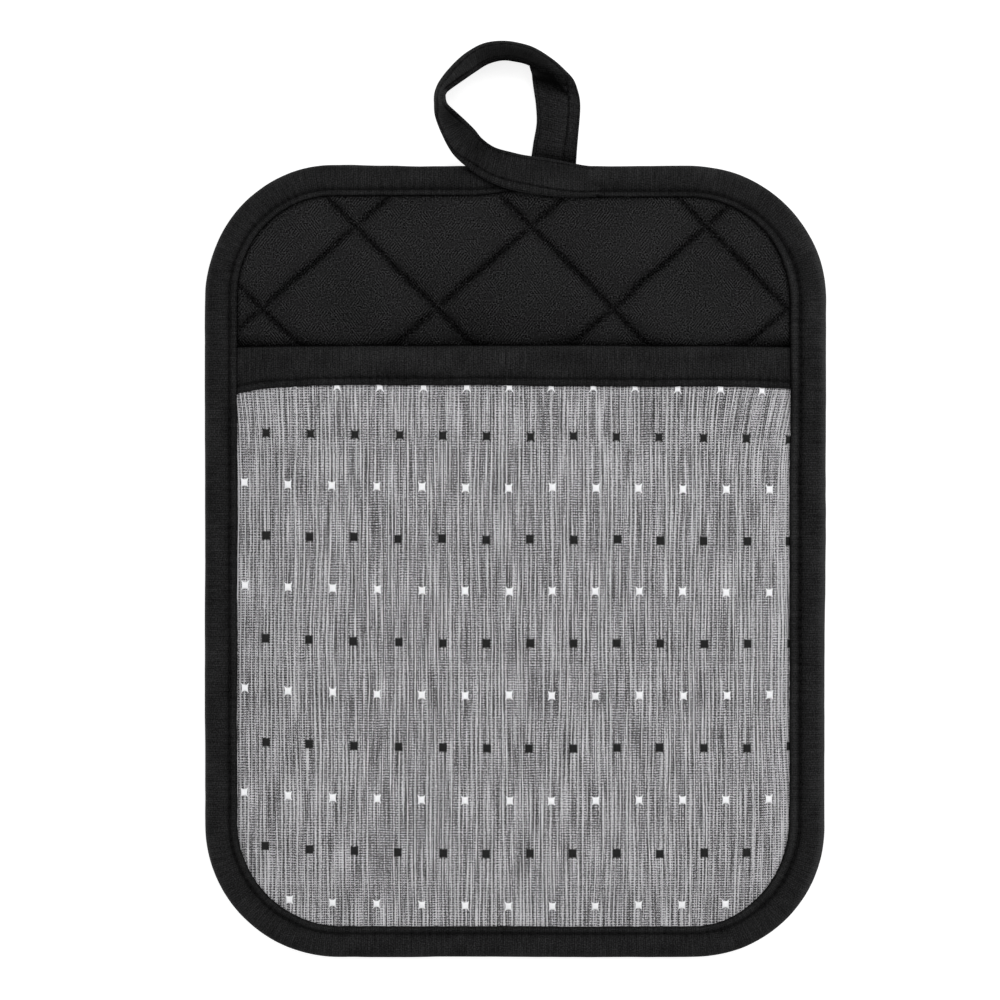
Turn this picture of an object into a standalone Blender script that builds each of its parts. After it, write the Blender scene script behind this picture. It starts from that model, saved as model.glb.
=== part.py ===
"""A pocket pot holder: a quilted pad, a cloth pocket over its lower part, a bound edge and a loop.

It lies on its back on the surface z = 0, with the hanging loop towards +Y and the pocket facing up.
The origin is under the middle of the whole object's box, the loop included.
Lengths are in metres; the tables below are written in millimetres and scaled by MM.
"""

import math
from collections import namedtuple

import bmesh
import bpy
from mathutils import Vector

MM = 0.001

# The bound body, seen from above.
BODY_WIDTH = 178.6 * MM
BODY_LENGTH = 227.8 * MM
LOOP_REACH = 35.9 * MM  # how far the loop stands out past the body's top edge
TOP_Y = (BODY_LENGTH - LOOP_REACH) / 2  # the body's top edge
CENTRE_Y = TOP_Y - BODY_LENGTH / 2
RADIUS_TOP_LEFT = 37.4 * MM
RADIUS_TOP_RIGHT = 39.3 * MM
RADIUS_BOTTOM_LEFT = 38.2 * MM
RADIUS_BOTTOM_RIGHT = 37.4 * MM
CORNER_STEPS = 10
SIDE_STEPS = 5  # steps along a straight side, for the bound layers
BINDING_SIDE_STEPS = 3  # and for the tape round them

# The layers of the sewn edge, from the surface up, each GAP from the next.
GAP = 0.3 * MM
TAPE = 1.2 * MM  # the edge tape's thickness, its fold lines included
PAD_EDGE_LOW = TAPE + GAP
PAD_EDGE_HIGH = 5.0 * MM  # where only the pad is bound in
PAD_EDGE_UNDER_POCKET = 2.6 * MM  # pressed thinner where the pocket is bound in with it
PANEL_EDGE = 4.0 * MM  # the underside of the pocket's cloth
PANEL_THICKNESS = 1.0 * MM
LIP_LOW = PANEL_EDGE + PANEL_THICKNESS + GAP
EDGE_FLAT = 11.0 * MM  # the layers lie flat this far in from the outline
EDGE_RISE = 17.0 * MM  # and reach their full height over this width
BOUND_INSET = TAPE + GAP  # the bound layers' cut edge, in from the outline

# The quilting: two families of straight seams, their pitch measured along X.
PAD_CROWN = 7.0 * MM
SEAM_PLANE = 2.6 * MM  # the level that the seams pull the two faces towards
SEAM_PULL = 0.58  # how far the top face is pulled down to it at a seam
SEAM_FADE = 5.0 * MM  # the pull grows to its full size over this width inside the sewn edge
UNDERSIDE_PULL = 1.2 * MM
PUFF_WIDTH = 3.6 * MM  # a puff rises to about two thirds of its height over this width
PUFF_FLAT = 0.80  # the underside is flat past this share of a puff's height
QUILT_PITCH = 50.5 * MM
SEAM_CROSSING = (-45.9 * MM, 78.5 * MM)  # one of the places where two seams cross
SEAM_ANGLES_DEG = (-45.4, 41.2)
SEAM_OFFSETS = (-9.0 * MM, -3.0 * MM, 0.0, 3.0 * MM, 9.0 * MM)  # lines of points beside a seam
RINGS = (11.0 * MM, 16.5 * MM, 24.0 * MM)  # rings of points, in from the outline

# The pocket: a sheet that bows up towards its open edge.
MOUTH_Y = 44.1 * MM
MOUTH_STEP = 3.0 * MM  # the pad steps down to its pressed thickness over this width
MOUTH_GAPE = 5.6 * MM
POCKET_SLACK = 0.2 * MM
GAPE_CURVE = 3.0  # the power of the bow from side to side
POCKET_CUTS_X = (0.0, 14 * MM, 28 * MM, 42 * MM, 54 * MM)
POCKET_CUTS_Y = tuple((-110 + 14 * row) * MM for row in range(11))

# The band folded over the pocket's open edge.
BAND_WALL = 0.8 * MM  # its thickness at the fold, which BAND_PROFILE repeats
BAND_END_GAP = 0.4 * MM

# The edge tape's visible width on the sides and at the top and bottom.
LIP_LEFT = 9.3 * MM
LIP_RIGHT = 10.2 * MM
LIP_ENDS = 8.7 * MM
BINDING_START_X = 4.3 * MM  # under the loop's tape
BINDING_END_X = 17.0 * MM  # where the tape leaves the edge to become the loop

ProfilePoint = namedtuple("ProfilePoint", "inward z")
# One section of the edge tape: inward is a share of its visible width, z is in millimetres.
BINDING_PROFILE = (
    ProfilePoint(1.00, 5.30),
    ProfilePoint(1.00, 5.95),
    ProfilePoint(0.91, 6.30),
    ProfilePoint(0.75, 5.95),
    ProfilePoint(0.58, 6.35),
    ProfilePoint(0.34, 6.45),
    ProfilePoint(0.14, 5.70),
    ProfilePoint(0.03, 4.40),
    ProfilePoint(0.00, 3.20),
    ProfilePoint(0.02, 1.60),
    ProfilePoint(0.10, 0.35),
    ProfilePoint(0.22, 0.00),
    ProfilePoint(0.95, 0.00),
    ProfilePoint(1.00, 0.35),
    ProfilePoint(1.00, 1.20),
)

BandPoint = namedtuple("BandPoint", "down level")
# One section of the pocket's band: down from its fold, and level above the cloth's underside.
BAND_PROFILE = (
    BandPoint(11.7, 1.45),
    BandPoint(11.7, 2.05),
    BandPoint(10.9, 2.35),
    BandPoint(9.3, 2.15),
    BandPoint(7.5, 2.50),
    BandPoint(3.0, 2.55),
    BandPoint(0.8, 2.05),
    BandPoint(0.0, 1.10),
    BandPoint(0.0, -0.10),
    BandPoint(0.8, -0.95),
    BandPoint(2.0, -1.10),
    BandPoint(11.0, -1.10),
    BandPoint(11.0, -0.30),
    BandPoint(0.8, -0.30),
    BandPoint(0.8, 1.45),
)

LoopSection = namedtuple("LoopSection", "fold_x fold_y fold_z edge_x edge_y edge_z bow")
# The loop's tape, from the front of the pad round to its back. A row gives the tape's folded edge
# and its stitched edge, in millimetres from the middle of the body's top edge, and its crown.
LOOP_SECTIONS = (
    LoopSection(16.7, 0.7, 5.9, 16.7, -9.0, 5.9, 0.1),
    LoopSection(9.8, 2.0, 6.6, 9.8, -8.6, 6.5, 0.2),
    LoopSection(3.2, 2.9, 7.8, 2.6, -7.8, 7.5, 0.4),
    LoopSection(-0.9, 3.8, 8.5, -2.6, -6.6, 7.6, 0.6),
    LoopSection(-5.8, 5.2, 9.4, -8.1, -4.3, 7.5, 0.8),
    LoopSection(-9.4, 7.4, 9.9, -13.0, -1.1, 6.8, 0.9),
    LoopSection(-11.8, 10.2, 10.0, -17.7, 3.2, 4.0, 1.0),
    LoopSection(-14.1, 12.6, 10.1, -21.0, 8.6, 1.8, 1.0),
    LoopSection(-17.2, 15.4, 10.7, -23.2, 14.4, 0.9, 0.9),
    LoopSection(-20.1, 20.4, 11.5, -23.2, 21.4, 0.7, 0.7),
    LoopSection(-18.4, 22.7, 11.3, -21.2, 25.5, 0.7, 0.8),
    LoopSection(-14.8, 25.1, 10.9, -17.8, 29.7, 0.7, 0.9),
    LoopSection(-11.5, 27.3, 10.6, -13.5, 33.2, 0.7, 1.0),
    LoopSection(-7.9, 29.5, 10.6, -8.6, 34.9, 0.7, 1.0),
    LoopSection(-3.5, 30.6, 10.8, -2.9, 35.3, 0.7, 1.0),
    LoopSection(0.9, 30.1, 10.7, 2.6, 34.5, 0.7, 1.0),
    LoopSection(3.6, 29.2, 10.3, 7.5, 32.8, 0.8, 1.0),
    LoopSection(4.6, 27.8, 9.3, 11.9, 29.8, 0.9, 1.0),
    LoopSection(4.8, 26.0, 7.2, 15.2, 26.5, 1.0, 0.9),
    LoopSection(5.0, 23.8, 4.4, 17.3, 22.7, 0.9, 0.7),
    LoopSection(5.4, 21.0, 1.9, 18.4, 18.6, 0.8, 0.4),
    LoopSection(6.1, 16.6, 0.7, 18.4, 13.8, 0.7, 0.1),
    LoopSection(6.2, 12.0, 0.6, 17.8, 8.5, 0.6, 0.0),
    LoopSection(5.6, 6.0, 0.6, 17.0, 3.4, 0.6, 0.0),
    LoopSection(4.9, -1.5, 0.6, 16.5, -2.0, 0.6, 0.0),
    LoopSection(4.9, -8.8, 0.6, 16.5, -8.8, 0.6, 0.0),
)
LOOP_STEPS = 2  # sections made between one row and the next
LOOP_ACROSS = 4  # faces across the tape

CUT_SNAP = 0.01 * MM  # a cut passes through points nearer to it than this
SHARP_DEG = 50  # an edge that turns more than this is shaded sharp

Station = namedtuple("Station", "x y inward_x inward_y")


def smooth(t):
    """0 to 1, level at both ends."""
    t = min(max(t, 0.0), 1.0)
    return t * t * (3 - 2 * t)


def corners():
    """Each corner's centre, radius and first angle, counterclockwise from the top left."""
    half_width, half_length = BODY_WIDTH / 2, BODY_LENGTH / 2
    table = (
        (-1, 1, RADIUS_TOP_LEFT, 90),
        (-1, -1, RADIUS_BOTTOM_LEFT, 180),
        (1, -1, RADIUS_BOTTOM_RIGHT, 270),
        (1, 1, RADIUS_TOP_RIGHT, 0),
    )
    for side_x, side_y, radius, start in table:
        x = side_x * (half_width - radius)
        y = CENTRE_Y + side_y * (half_length - radius)
        yield x, y, radius, start


def outline_stations(sides=SIDE_STEPS):
    """Points round the body's outline, counterclockwise, each with its inward direction."""
    arcs = []
    for x, y, radius, start in corners():
        arc = []
        for step in range(CORNER_STEPS + 1):
            angle = math.radians(start + 90 * step / CORNER_STEPS)
            out_x, out_y = math.cos(angle), math.sin(angle)
            arc.append(Station(x + radius * out_x, y + radius * out_y, -out_x, -out_y))
        arcs.append(arc)
    stations = []
    for index, arc in enumerate(arcs):
        stations += arc
        after = arcs[(index + 1) % len(arcs)][0]
        last = arc[-1]
        for step in range(1, sides):
            share = step / sides
            stations.append(
                Station(
                    last.x + share * (after.x - last.x),
                    last.y + share * (after.y - last.y),
                    last.inward_x,
                    last.inward_y,
                )
            )
    return stations


def edge_distance(x, y):
    """How far a point lies inside the body's outline."""
    y -= CENTRE_Y
    if y > 0:
        radius = RADIUS_TOP_LEFT if x < 0 else RADIUS_TOP_RIGHT
    else:
        radius = RADIUS_BOTTOM_LEFT if x < 0 else RADIUS_BOTTOM_RIGHT
    past_x = abs(x) - (BODY_WIDTH / 2 - radius)
    past_y = abs(y) - (BODY_LENGTH / 2 - radius)
    outside = math.hypot(max(past_x, 0), max(past_y, 0))
    return radius - outside - min(max(past_x, past_y), 0)


def rise(x, y):
    """0 along the sewn edge, 1 where the pad has its full height."""
    return smooth((edge_distance(x, y) - EDGE_FLAT) / EDGE_RISE)


def seam_distance(x, y, angle_deg):
    """How far a point is from the nearest of the seams that run at an angle."""
    angle = math.radians(angle_deg)
    spacing = QUILT_PITCH * abs(math.sin(angle))
    across = (x - SEAM_CROSSING[0]) * math.sin(angle) - (y - SEAM_CROSSING[1]) * math.cos(angle)
    return abs(across - spacing * round(across / spacing))


def puff(x, y):
    """0 on a seam, nearly 1 in the middle of a diamond."""
    height = 1.0
    for angle_deg in SEAM_ANGLES_DEG:
        height *= 1 - math.exp(-seam_distance(x, y, angle_deg) / PUFF_WIDTH)
    return height


def pad_top(x, y):
    under_pocket = smooth((MOUTH_Y + MOUTH_STEP - y) / MOUTH_STEP)
    edge = PAD_EDGE_HIGH + under_pocket * (PAD_EDGE_UNDER_POCKET - PAD_EDGE_HIGH)
    envelope = edge + (PAD_CROWN - edge) * rise(x, y)
    reach = smooth((edge_distance(x, y) - EDGE_FLAT + SEAM_FADE / 4) / SEAM_FADE)
    pull = SEAM_PULL * reach * (1 - puff(x, y))
    return envelope - pull * max(envelope - SEAM_PLANE, 0)


def pad_bottom(x, y):
    raised = min(1.0, puff(x, y) / PUFF_FLAT)
    pulled = UNDERSIDE_PULL * (1 - raised)
    return PAD_EDGE_LOW + (pulled - PAD_EDGE_LOW) * rise(x, y)


def panel_bottom(x, y):
    """The underside of the pocket's cloth, clear of the pad and open at the mouth."""
    half_width = BODY_WIDTH / 2 - EDGE_FLAT
    bowed = max(0.0, 1 - (abs(x) / half_width) ** GAPE_CURVE)
    foot_y = CENTRE_Y - BODY_LENGTH / 2 + EDGE_FLAT
    along = min(max((y - foot_y) / (MOUTH_Y - foot_y), 0.0), 1.0)
    opened = math.sin(along * math.pi / 2) ** 2
    lift = POCKET_SLACK * rise(x, y) + MOUTH_GAPE * bowed * opened
    return PANEL_EDGE + (PAD_CROWN + GAP - PANEL_EDGE) * rise(x, y) + lift


def cloth(name, color, roughness):
    material = bpy.data.materials.new(name)
    material.use_nodes = True
    shader = material.node_tree.nodes["Principled BSDF"]
    shader.inputs["Base Color"].default_value = (*color, 1.0)
    shader.inputs["Roughness"].default_value = roughness
    shader.inputs["Metallic"].default_value = 0.0
    return material


def add_object(name, mesh_data, collection, material):
    """Put a bmesh into the scene as a smooth-shaded object."""
    mesh = bpy.data.meshes.new(name)
    bmesh.ops.recalc_face_normals(mesh_data, faces=mesh_data.faces[:])
    mesh_data.to_mesh(mesh)
    mesh_data.free()
    mesh.materials.append(material)
    mesh.shade_smooth()
    mesh.set_sharp_from_angle(angle=math.radians(SHARP_DEG))
    placed = bpy.data.objects.new(name, mesh)
    collection.objects.link(placed)
    return placed


def body_sheet():
    """A flat face with the bound layers' outline and rings of points inside its edge."""
    sheet = bmesh.new()
    rim = [
        sheet.verts.new((s.x + BOUND_INSET * s.inward_x, s.y + BOUND_INSET * s.inward_y, 0.0))
        for s in outline_stations()
    ]
    middle = sheet.faces.new(rim)
    middle.normal_update()
    before = BOUND_INSET
    for ring in RINGS:
        inset = ring - before
        bmesh.ops.inset_individual(sheet, faces=[middle], thickness=inset, use_even_offset=True)
        before = ring
    return sheet


def cut(sheet, point, direction, inside=None, keep_behind=False):
    """Cut a flat sheet, or only its faces inside a ring, along the line whose normal is direction."""
    faces = [f for f in sheet.faces if not inside or is_inside(f, inside)]
    edges = {edge for face in faces for edge in face.edges}
    verts = {vert for face in faces for vert in face.verts}
    bmesh.ops.bisect_plane(
        sheet,
        geom=[*verts, *edges, *faces],
        dist=CUT_SNAP,
        plane_co=point,
        plane_no=direction,
        clear_outer=keep_behind,
    )


def is_inside(face, ring):
    middle = face.calc_center_median()
    return edge_distance(middle.x, middle.y) > ring


def quilted_pad(collection, material):
    sheet = body_sheet()
    for angle_deg in SEAM_ANGLES_DEG:
        angle = math.radians(angle_deg)
        normal = Vector((math.sin(angle), -math.cos(angle), 0.0))
        spacing = QUILT_PITCH * abs(math.sin(angle))
        reach = int(math.hypot(BODY_WIDTH, BODY_LENGTH) / spacing) + 1
        crossing = Vector((*SEAM_CROSSING, 0.0))
        for seam in range(-reach, reach + 1):
            for offset in SEAM_OFFSETS:
                cut(sheet, crossing + normal * (seam * spacing + offset), normal, EDGE_FLAT)
    for y in (MOUTH_Y, MOUTH_Y + MOUTH_STEP):
        cut(sheet, Vector((0.0, y, 0.0)), Vector((0.0, 1.0, 0.0)))
    bottom = sheet.verts[:]
    extruded = bmesh.ops.extrude_face_region(sheet, geom=sheet.faces[:])
    top = [part for part in extruded["geom"] if isinstance(part, bmesh.types.BMVert)]
    for vert in bottom:
        vert.co.z = pad_bottom(vert.co.x, vert.co.y)
    for vert in top:
        vert.co.z = pad_top(vert.co.x, vert.co.y)
    return add_object("quilted_pad", sheet, collection, material)


def pocket_panel(collection, material):
    sheet = body_sheet()
    edge_y = MOUTH_Y - BAND_WALL - GAP
    cut(sheet, Vector((0.0, edge_y, 0.0)), Vector((0.0, 1.0, 0.0)), keep_behind=True)
    for x in POCKET_CUTS_X:
        for side in (-1, 1):
            cut(sheet, Vector((side * x, 0.0, 0.0)), Vector((1.0, 0.0, 0.0)))
    for y in POCKET_CUTS_Y:
        cut(sheet, Vector((0.0, y, 0.0)), Vector((0.0, 1.0, 0.0)))
    for vert in sheet.verts:
        vert.co.z = panel_bottom(vert.co.x, vert.co.y)
    bmesh.ops.triangulate(sheet, faces=[f for f in sheet.faces if len(f.verts) > 4])
    panel = add_object("pocket_panel", sheet, collection, material)
    if panel.data.polygons[0].normal.z < 0:
        panel.data.flip_normals()
    shell = panel.modifiers.new("cloth", "SOLIDIFY")
    shell.thickness = PANEL_THICKNESS
    shell.offset = 1.0
    shell.use_even_offset = True
    return panel


def loft(sections):
    """A closed body through rings of points that all have the same number."""
    body = bmesh.new()
    rings = [[body.verts.new(point) for point in section] for section in sections]
    for ring, following in zip(rings, rings[1:]):
        for i, vert in enumerate(ring):
            j = (i + 1) % len(ring)
            body.faces.new((vert, ring[j], following[j], following[i]))
    body.faces.new(rings[0])
    body.faces.new(reversed(rings[-1]))
    return body


def pocket_band(collection, material):
    half = BODY_WIDTH / 2
    ends = (-half + LIP_LEFT + BAND_END_GAP, half - LIP_RIGHT - BAND_END_GAP)
    inner = [side * (half - ring) for ring in RINGS for side in (-1, 1)]
    inner += [side * x for x in POCKET_CUTS_X for side in (-1, 1)]
    sections = []
    for x in sorted({*ends, *inner}):
        section = []
        for point in BAND_PROFILE:
            y = MOUTH_Y - point.down * MM
            section.append((x, y, panel_bottom(x, y) + point.level * MM))
        sections.append(section)
    return add_object("pocket_band", loft(sections), collection, material)


def binding_stations():
    """The outline from the tape's start, round the body, to where the loop begins."""
    stations = outline_stations(BINDING_SIDE_STEPS)
    start = Station(BINDING_START_X, TOP_Y, 0.0, -1.0)
    end = Station(BINDING_END_X, TOP_Y, 0.0, -1.0)
    before_top_run = len(stations) - (BINDING_SIDE_STEPS - 1)
    return [start, *stations[:before_top_run], end]


def lip_width(station):
    side = LIP_LEFT if station.inward_x > 0 else LIP_RIGHT
    return side * station.inward_x**2 + LIP_ENDS * station.inward_y**2


def edge_binding(collection, material):
    sections = []
    for station in binding_stations():
        width = lip_width(station)
        points = [(p.inward * width, p.z * MM) for p in BINDING_PROFILE]
        points += [(TAPE, TAPE), (TAPE, LIP_LOW)]
        sections.append(
            [
                (station.x + inward * station.inward_x, station.y + inward * station.inward_y, z)
                for inward, z in points
            ]
        )
    return add_object("edge_binding", loft(sections), collection, material)


def between(a, b, c, d, t):
    """The Catmull-Rom curve from b to c, with a before and d after."""
    return 0.5 * (
        2 * b + (c - a) * t + (2 * a - 5 * b + 4 * c - d) * t**2 + (3 * b - a - 3 * c + d) * t**3
    )


def loop_sections():
    """The loop's sections, with smooth ones made between the table's rows."""
    rows = LOOP_SECTIONS
    for index in range(len(rows) - 1):
        near = [rows[min(max(index + step, 0), len(rows) - 1)] for step in (-1, 0, 1, 2)]
        for step in range(LOOP_STEPS):
            t = step / LOOP_STEPS
            yield LoopSection(*(between(*column, t) for column in zip(*near)))
    yield rows[-1]


def hanging_loop(collection, material):
    sections = list(loop_sections())
    tape = bmesh.new()
    bmesh.ops.create_grid(tape, x_segments=len(sections) - 1, y_segments=LOOP_ACROSS, size=1.0)
    for vert in tape.verts:
        section = sections[round((vert.co.x + 1) / 2 * (len(sections) - 1))]
        across = (vert.co.y + 1) / 2
        fold = Vector((section.fold_x, section.fold_y, section.fold_z))
        edge = Vector((section.edge_x, section.edge_y, section.edge_z))
        crown = section.bow * 4 * across * (1 - across)
        level = (fold - edge).xy.length / (fold - edge).length
        away = (edge - fold).xy.normalized() * crown * (1 - level)
        place = edge.lerp(fold, across) + Vector((*away, crown * level))
        vert.co = place * MM
        vert.co.y += TOP_Y
        vert.co.z = max(vert.co.z, TAPE / 2)
    loop = add_object("hanging_loop", tape, collection, material)
    shell = loop.modifiers.new("tape", "SOLIDIFY")
    shell.thickness = TAPE
    shell.offset = 0.0
    shell.use_even_offset = False
    return loop


def main():
    for old in list(bpy.data.objects):
        bpy.data.objects.remove(old, do_unlink=True)
    collection = bpy.data.collections.new("pocket_pot_holder")
    bpy.context.scene.collection.children.link(collection)
    black = cloth("black_cotton", (0.0144, 0.0144, 0.0150), 0.85)
    tape = cloth("black_tape", (0.0130, 0.0130, 0.0137), 0.75)
    chambray = cloth("grey_chambray", (0.250, 0.246, 0.253), 0.85)
    quilted_pad(collection, black)
    pocket_panel(collection, chambray)
    pocket_band(collection, tape)
    edge_binding(collection, tape)
    hanging_loop(collection, tape)


main()
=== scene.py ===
"""The looks of a pocket pot holder: quilting, slub cloth, stitched tape and light.

Everything is in metres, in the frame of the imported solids: the holder lies on its back on z = 0,
its hanging loop towards +Y. The shapes follow the solids, with finer creases, wrinkles and stitches.
"""

import math
from collections import namedtuple

import bpy
import numpy as np
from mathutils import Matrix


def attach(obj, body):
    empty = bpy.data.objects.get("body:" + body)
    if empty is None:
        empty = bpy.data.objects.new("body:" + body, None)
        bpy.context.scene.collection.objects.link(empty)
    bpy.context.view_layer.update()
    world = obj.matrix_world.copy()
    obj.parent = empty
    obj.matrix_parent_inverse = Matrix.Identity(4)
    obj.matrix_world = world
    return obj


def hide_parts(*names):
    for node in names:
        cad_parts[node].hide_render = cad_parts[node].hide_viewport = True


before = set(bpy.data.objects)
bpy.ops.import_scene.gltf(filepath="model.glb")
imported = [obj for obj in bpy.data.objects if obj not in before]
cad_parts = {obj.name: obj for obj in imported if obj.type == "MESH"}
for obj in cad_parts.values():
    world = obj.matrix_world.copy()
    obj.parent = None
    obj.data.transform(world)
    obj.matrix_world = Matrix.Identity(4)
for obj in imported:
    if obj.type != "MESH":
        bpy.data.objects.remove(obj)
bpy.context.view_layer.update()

MM = 0.001
ROOT = "root"

# The bound body, seen from above.
BODY_WIDTH = 178.6 * MM
BODY_LENGTH = 227.8 * MM
LOOP_REACH = 35.9 * MM
TOP_Y = (BODY_LENGTH - LOOP_REACH) / 2
CENTRE_Y = TOP_Y - BODY_LENGTH / 2
RADIUS_TOP_LEFT = 37.4 * MM
RADIUS_TOP_RIGHT = 39.3 * MM
RADIUS_BOTTOM_LEFT = 38.2 * MM
RADIUS_BOTTOM_RIGHT = 37.4 * MM

# The camera looks straight down at the photo's square frame.
FRAME_PX = 1000
PIXEL = 0.288 * MM  # at the level of the body's edge
BODY_CENTRE_PX = (515.0, 560.9)
CAMERA_HEIGHT = 1.2
EDGE_LEVEL = 5 * MM
LENS_MM = 150
EYE_XY = np.array([
    (FRAME_PX / 2 - BODY_CENTRE_PX[0]) * PIXEL,
    CENTRE_Y + (BODY_CENTRE_PX[1] - FRAME_PX / 2) * PIXEL,
])

# The layers of the sewn edge.
GAP = 0.3 * MM
TAPE = 1.2 * MM
PAD_EDGE_LOW = TAPE + GAP
PAD_EDGE_HIGH = 5.0 * MM
PAD_EDGE_UNDER_POCKET = 2.6 * MM
PANEL_EDGE = 4.0 * MM
PANEL_THICKNESS = 0.9 * MM
LIP_LOW = 5.3 * MM
EDGE_FLAT = 11.0 * MM
EDGE_RISE = 17.0 * MM
BOUND_INSET = TAPE + GAP

# The quilting.
PAD_CROWN = 7.0 * MM
SEAM_PLANE = 2.6 * MM
SEAM_SHADE = 0.85 * MM  # how far a seam's painted shade reaches
SEAM_PULL = 0.58
SEAM_FADE = 5.0 * MM
UNDERSIDE_PULL = 1.2 * MM
PUFF_WIDTH = 3.6 * MM
PUFF_FLAT = 0.80
QUILT_PITCH = 50.5 * MM
SEAM_CROSSING = (-45.9 * MM, 78.5 * MM)
SEAM_ANGLES = (math.radians(-45.4), math.radians(41.2))
SEAM_LINES = 15  # lines of points between a seam and the middle of a diamond
SEAM_LINE_POWER = 1.8  # they crowd towards the seam by this power
CREASE_WIDTH = 0.7 * MM  # the tight crease that the thread pulls
CREASE_DEPTH = 0.5 * MM
SEAM_STITCH = 2.0 * MM
SEAM_STITCH_THICK = 0.40 * MM
SEAM_STITCH_ARCH = 0.16 * MM
SEAM_STITCH_INSET = 9.2 * MM  # the stitches nearer to the edge are under its tape
SEEN_IN_POCKET = 12 * MM  # how far down the pocket the pad's face has stitches

# The pocket and its open edge.
MOUTH_Y = 44.1 * MM
MOUTH_STEP = 3.0 * MM
MOUTH_GAPE = 5.6 * MM
POCKET_SLACK = 0.2 * MM
GAPE_CURVE = 3.0
PANEL_PITCH = 1.1 * MM
BAND_WALL = 0.8 * MM

# The edge tape.
LIP_LEFT = 9.3 * MM
LIP_RIGHT = 10.35 * MM
LIP_ENDS = 8.7 * MM
BINDING_START_X = 4.3 * MM
BINDING_END_X = 15.0 * MM
BINDING_STEP = 0.65 * MM
TAPE_STITCH = 2.6 * MM  # from one stitch of the tapes to the next
TAPE_STITCH_LENGTH = 0.76 * TAPE_STITCH
TAPE_STITCH_THICK = 0.46 * MM
TAPE_STITCH_ARCH = 0.26 * MM
LOOP_STITCH_THICK = 0.44 * MM
LOOP_STITCH_ARCH = 0.24 * MM


# ---------------------------------------------------------------- shape rules

def smooth(t):
    """0 to 1, level at both ends."""
    t = np.clip(t, 0.0, 1.0)
    return t * t * (3 - 2 * t)


def ramp(x, start, width):
    """0 up to start, then rising to 1 over width. x is in metres, the others in millimetres."""
    return smooth((x - start * MM) / (width * MM))


def bell(distance, width):
    """1 at no distance, falling off on both sides."""
    return np.exp(-((distance / width) ** 2))


def ripple(x, y, seed):
    """Smooth noise from -1 to 1 over cells of size 1."""
    i, j = np.floor(x), np.floor(y)
    u, v = smooth(x - i), smooth(y - j)

    def corner(a, b):
        wave = np.sin(a * 127.1 + b * 311.7 + seed * 74.7) * 43758.5453
        return 2 * (wave - np.floor(wave)) - 1

    low = (1 - u) * corner(i, j) + u * corner(i + 1, j)
    high = (1 - u) * corner(i, j + 1) + u * corner(i + 1, j + 1)
    return (1 - v) * low + v * high


def bumps(x, y, size_x, size_y, seed):
    """Ripples at a place in metres, their cells in millimetres."""
    return ripple(x / (size_x * MM), y / (size_y * MM), seed)


def waver(lengths, size, seed):
    """Ripples along a line in metres, their cells in millimetres."""
    return ripple(lengths / (size * MM), 0.5, seed)


def edge_distance(x, y):
    """How far a point lies inside the body's outline."""
    x, y = np.asarray(x, float), np.asarray(y, float) - CENTRE_Y
    top = np.where(x < 0, RADIUS_TOP_LEFT, RADIUS_TOP_RIGHT)
    bottom = np.where(x < 0, RADIUS_BOTTOM_LEFT, RADIUS_BOTTOM_RIGHT)
    radius = np.where(y > 0, top, bottom)
    past_x = np.abs(x) - (BODY_WIDTH / 2 - radius)
    past_y = np.abs(y) - (BODY_LENGTH / 2 - radius)
    outside = np.hypot(np.maximum(past_x, 0), np.maximum(past_y, 0))
    return radius - outside - np.minimum(np.maximum(past_x, past_y), 0)


def edge_slope(x, y):
    """How edge_distance grows along x and along y."""
    small = 0.01 * MM
    slope_x = (edge_distance(x + small, y) - edge_distance(x - small, y)) / (2 * small)
    slope_y = (edge_distance(x, y + small) - edge_distance(x, y - small)) / (2 * small)
    return slope_x, slope_y


def path_lengths(points):
    """How far each point of a path lies along it."""
    return np.concatenate([[0], np.cumsum(np.linalg.norm(np.diff(points, axis=0), axis=1))])


def rise(x, y):
    """0 in the flat sewn edge, 1 in the full height of the pad."""
    return smooth((edge_distance(x, y) - EDGE_FLAT) / EDGE_RISE)


def seam_places(x, y, angle):
    """Distance across to the nearest seam of one family, and the place along it."""
    spacing = QUILT_PITCH * abs(math.sin(angle))
    dx, dy = x - SEAM_CROSSING[0], y - SEAM_CROSSING[1]
    across = dx * math.sin(angle) - dy * math.cos(angle)
    along = dx * math.cos(angle) + dy * math.sin(angle)
    return np.abs(across - spacing * np.round(across / spacing)), along


def holes(lengths, pitch):
    """1 at each needle hole along a line of stitches, 0 half way between."""
    return 0.5 + 0.5 * np.cos(2 * np.pi * lengths / pitch)


def thread_pull(lengths, seed):
    """How hard the thread pulls, unevenly, along a line of stitches."""
    return 0.5 + 0.3 * waver(lengths, 1.7, seed) + 0.3 * waver(lengths, 6, seed + 1)


def puff(x, y):
    """0 on a seam, nearly 1 in the middle of a diamond."""
    height = 1.0
    for angle in SEAM_ANGLES:
        height = height * (1 - np.exp(-seam_places(x, y, angle)[0] / PUFF_WIDTH))
    return height


def crease(x, y):
    """1 in a seam's stitched crease, deepest at the needle holes, and 0 away from it."""
    deepest = 0.0
    for angle in SEAM_ANGLES:
        across, along = seam_places(x, y, angle)
        hole = holes(along, SEAM_STITCH)
        deepest = np.maximum(deepest, bell(across, CREASE_WIDTH) * (0.6 + 0.4 * hole))
    return deepest


def seam_shade(x, y):
    """1 in the painted shade of a seam. The second family fades where it crosses the first."""
    first, second = (seam_places(x, y, angle) for angle in SEAM_ANGLES)
    fading = 1 - 0.7 * bell(first[0], 1.8 * MM)
    darkest = 0.0
    for (across, along), strength in ((first, 1.0), (second, fading)):
        hole = holes(along, SEAM_STITCH)
        dark = np.exp(-((across / SEAM_SHADE) ** 1.3)) * (0.8 + 0.2 * hole) * strength
        darkest = np.maximum(darkest, dark)
    return darkest


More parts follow.
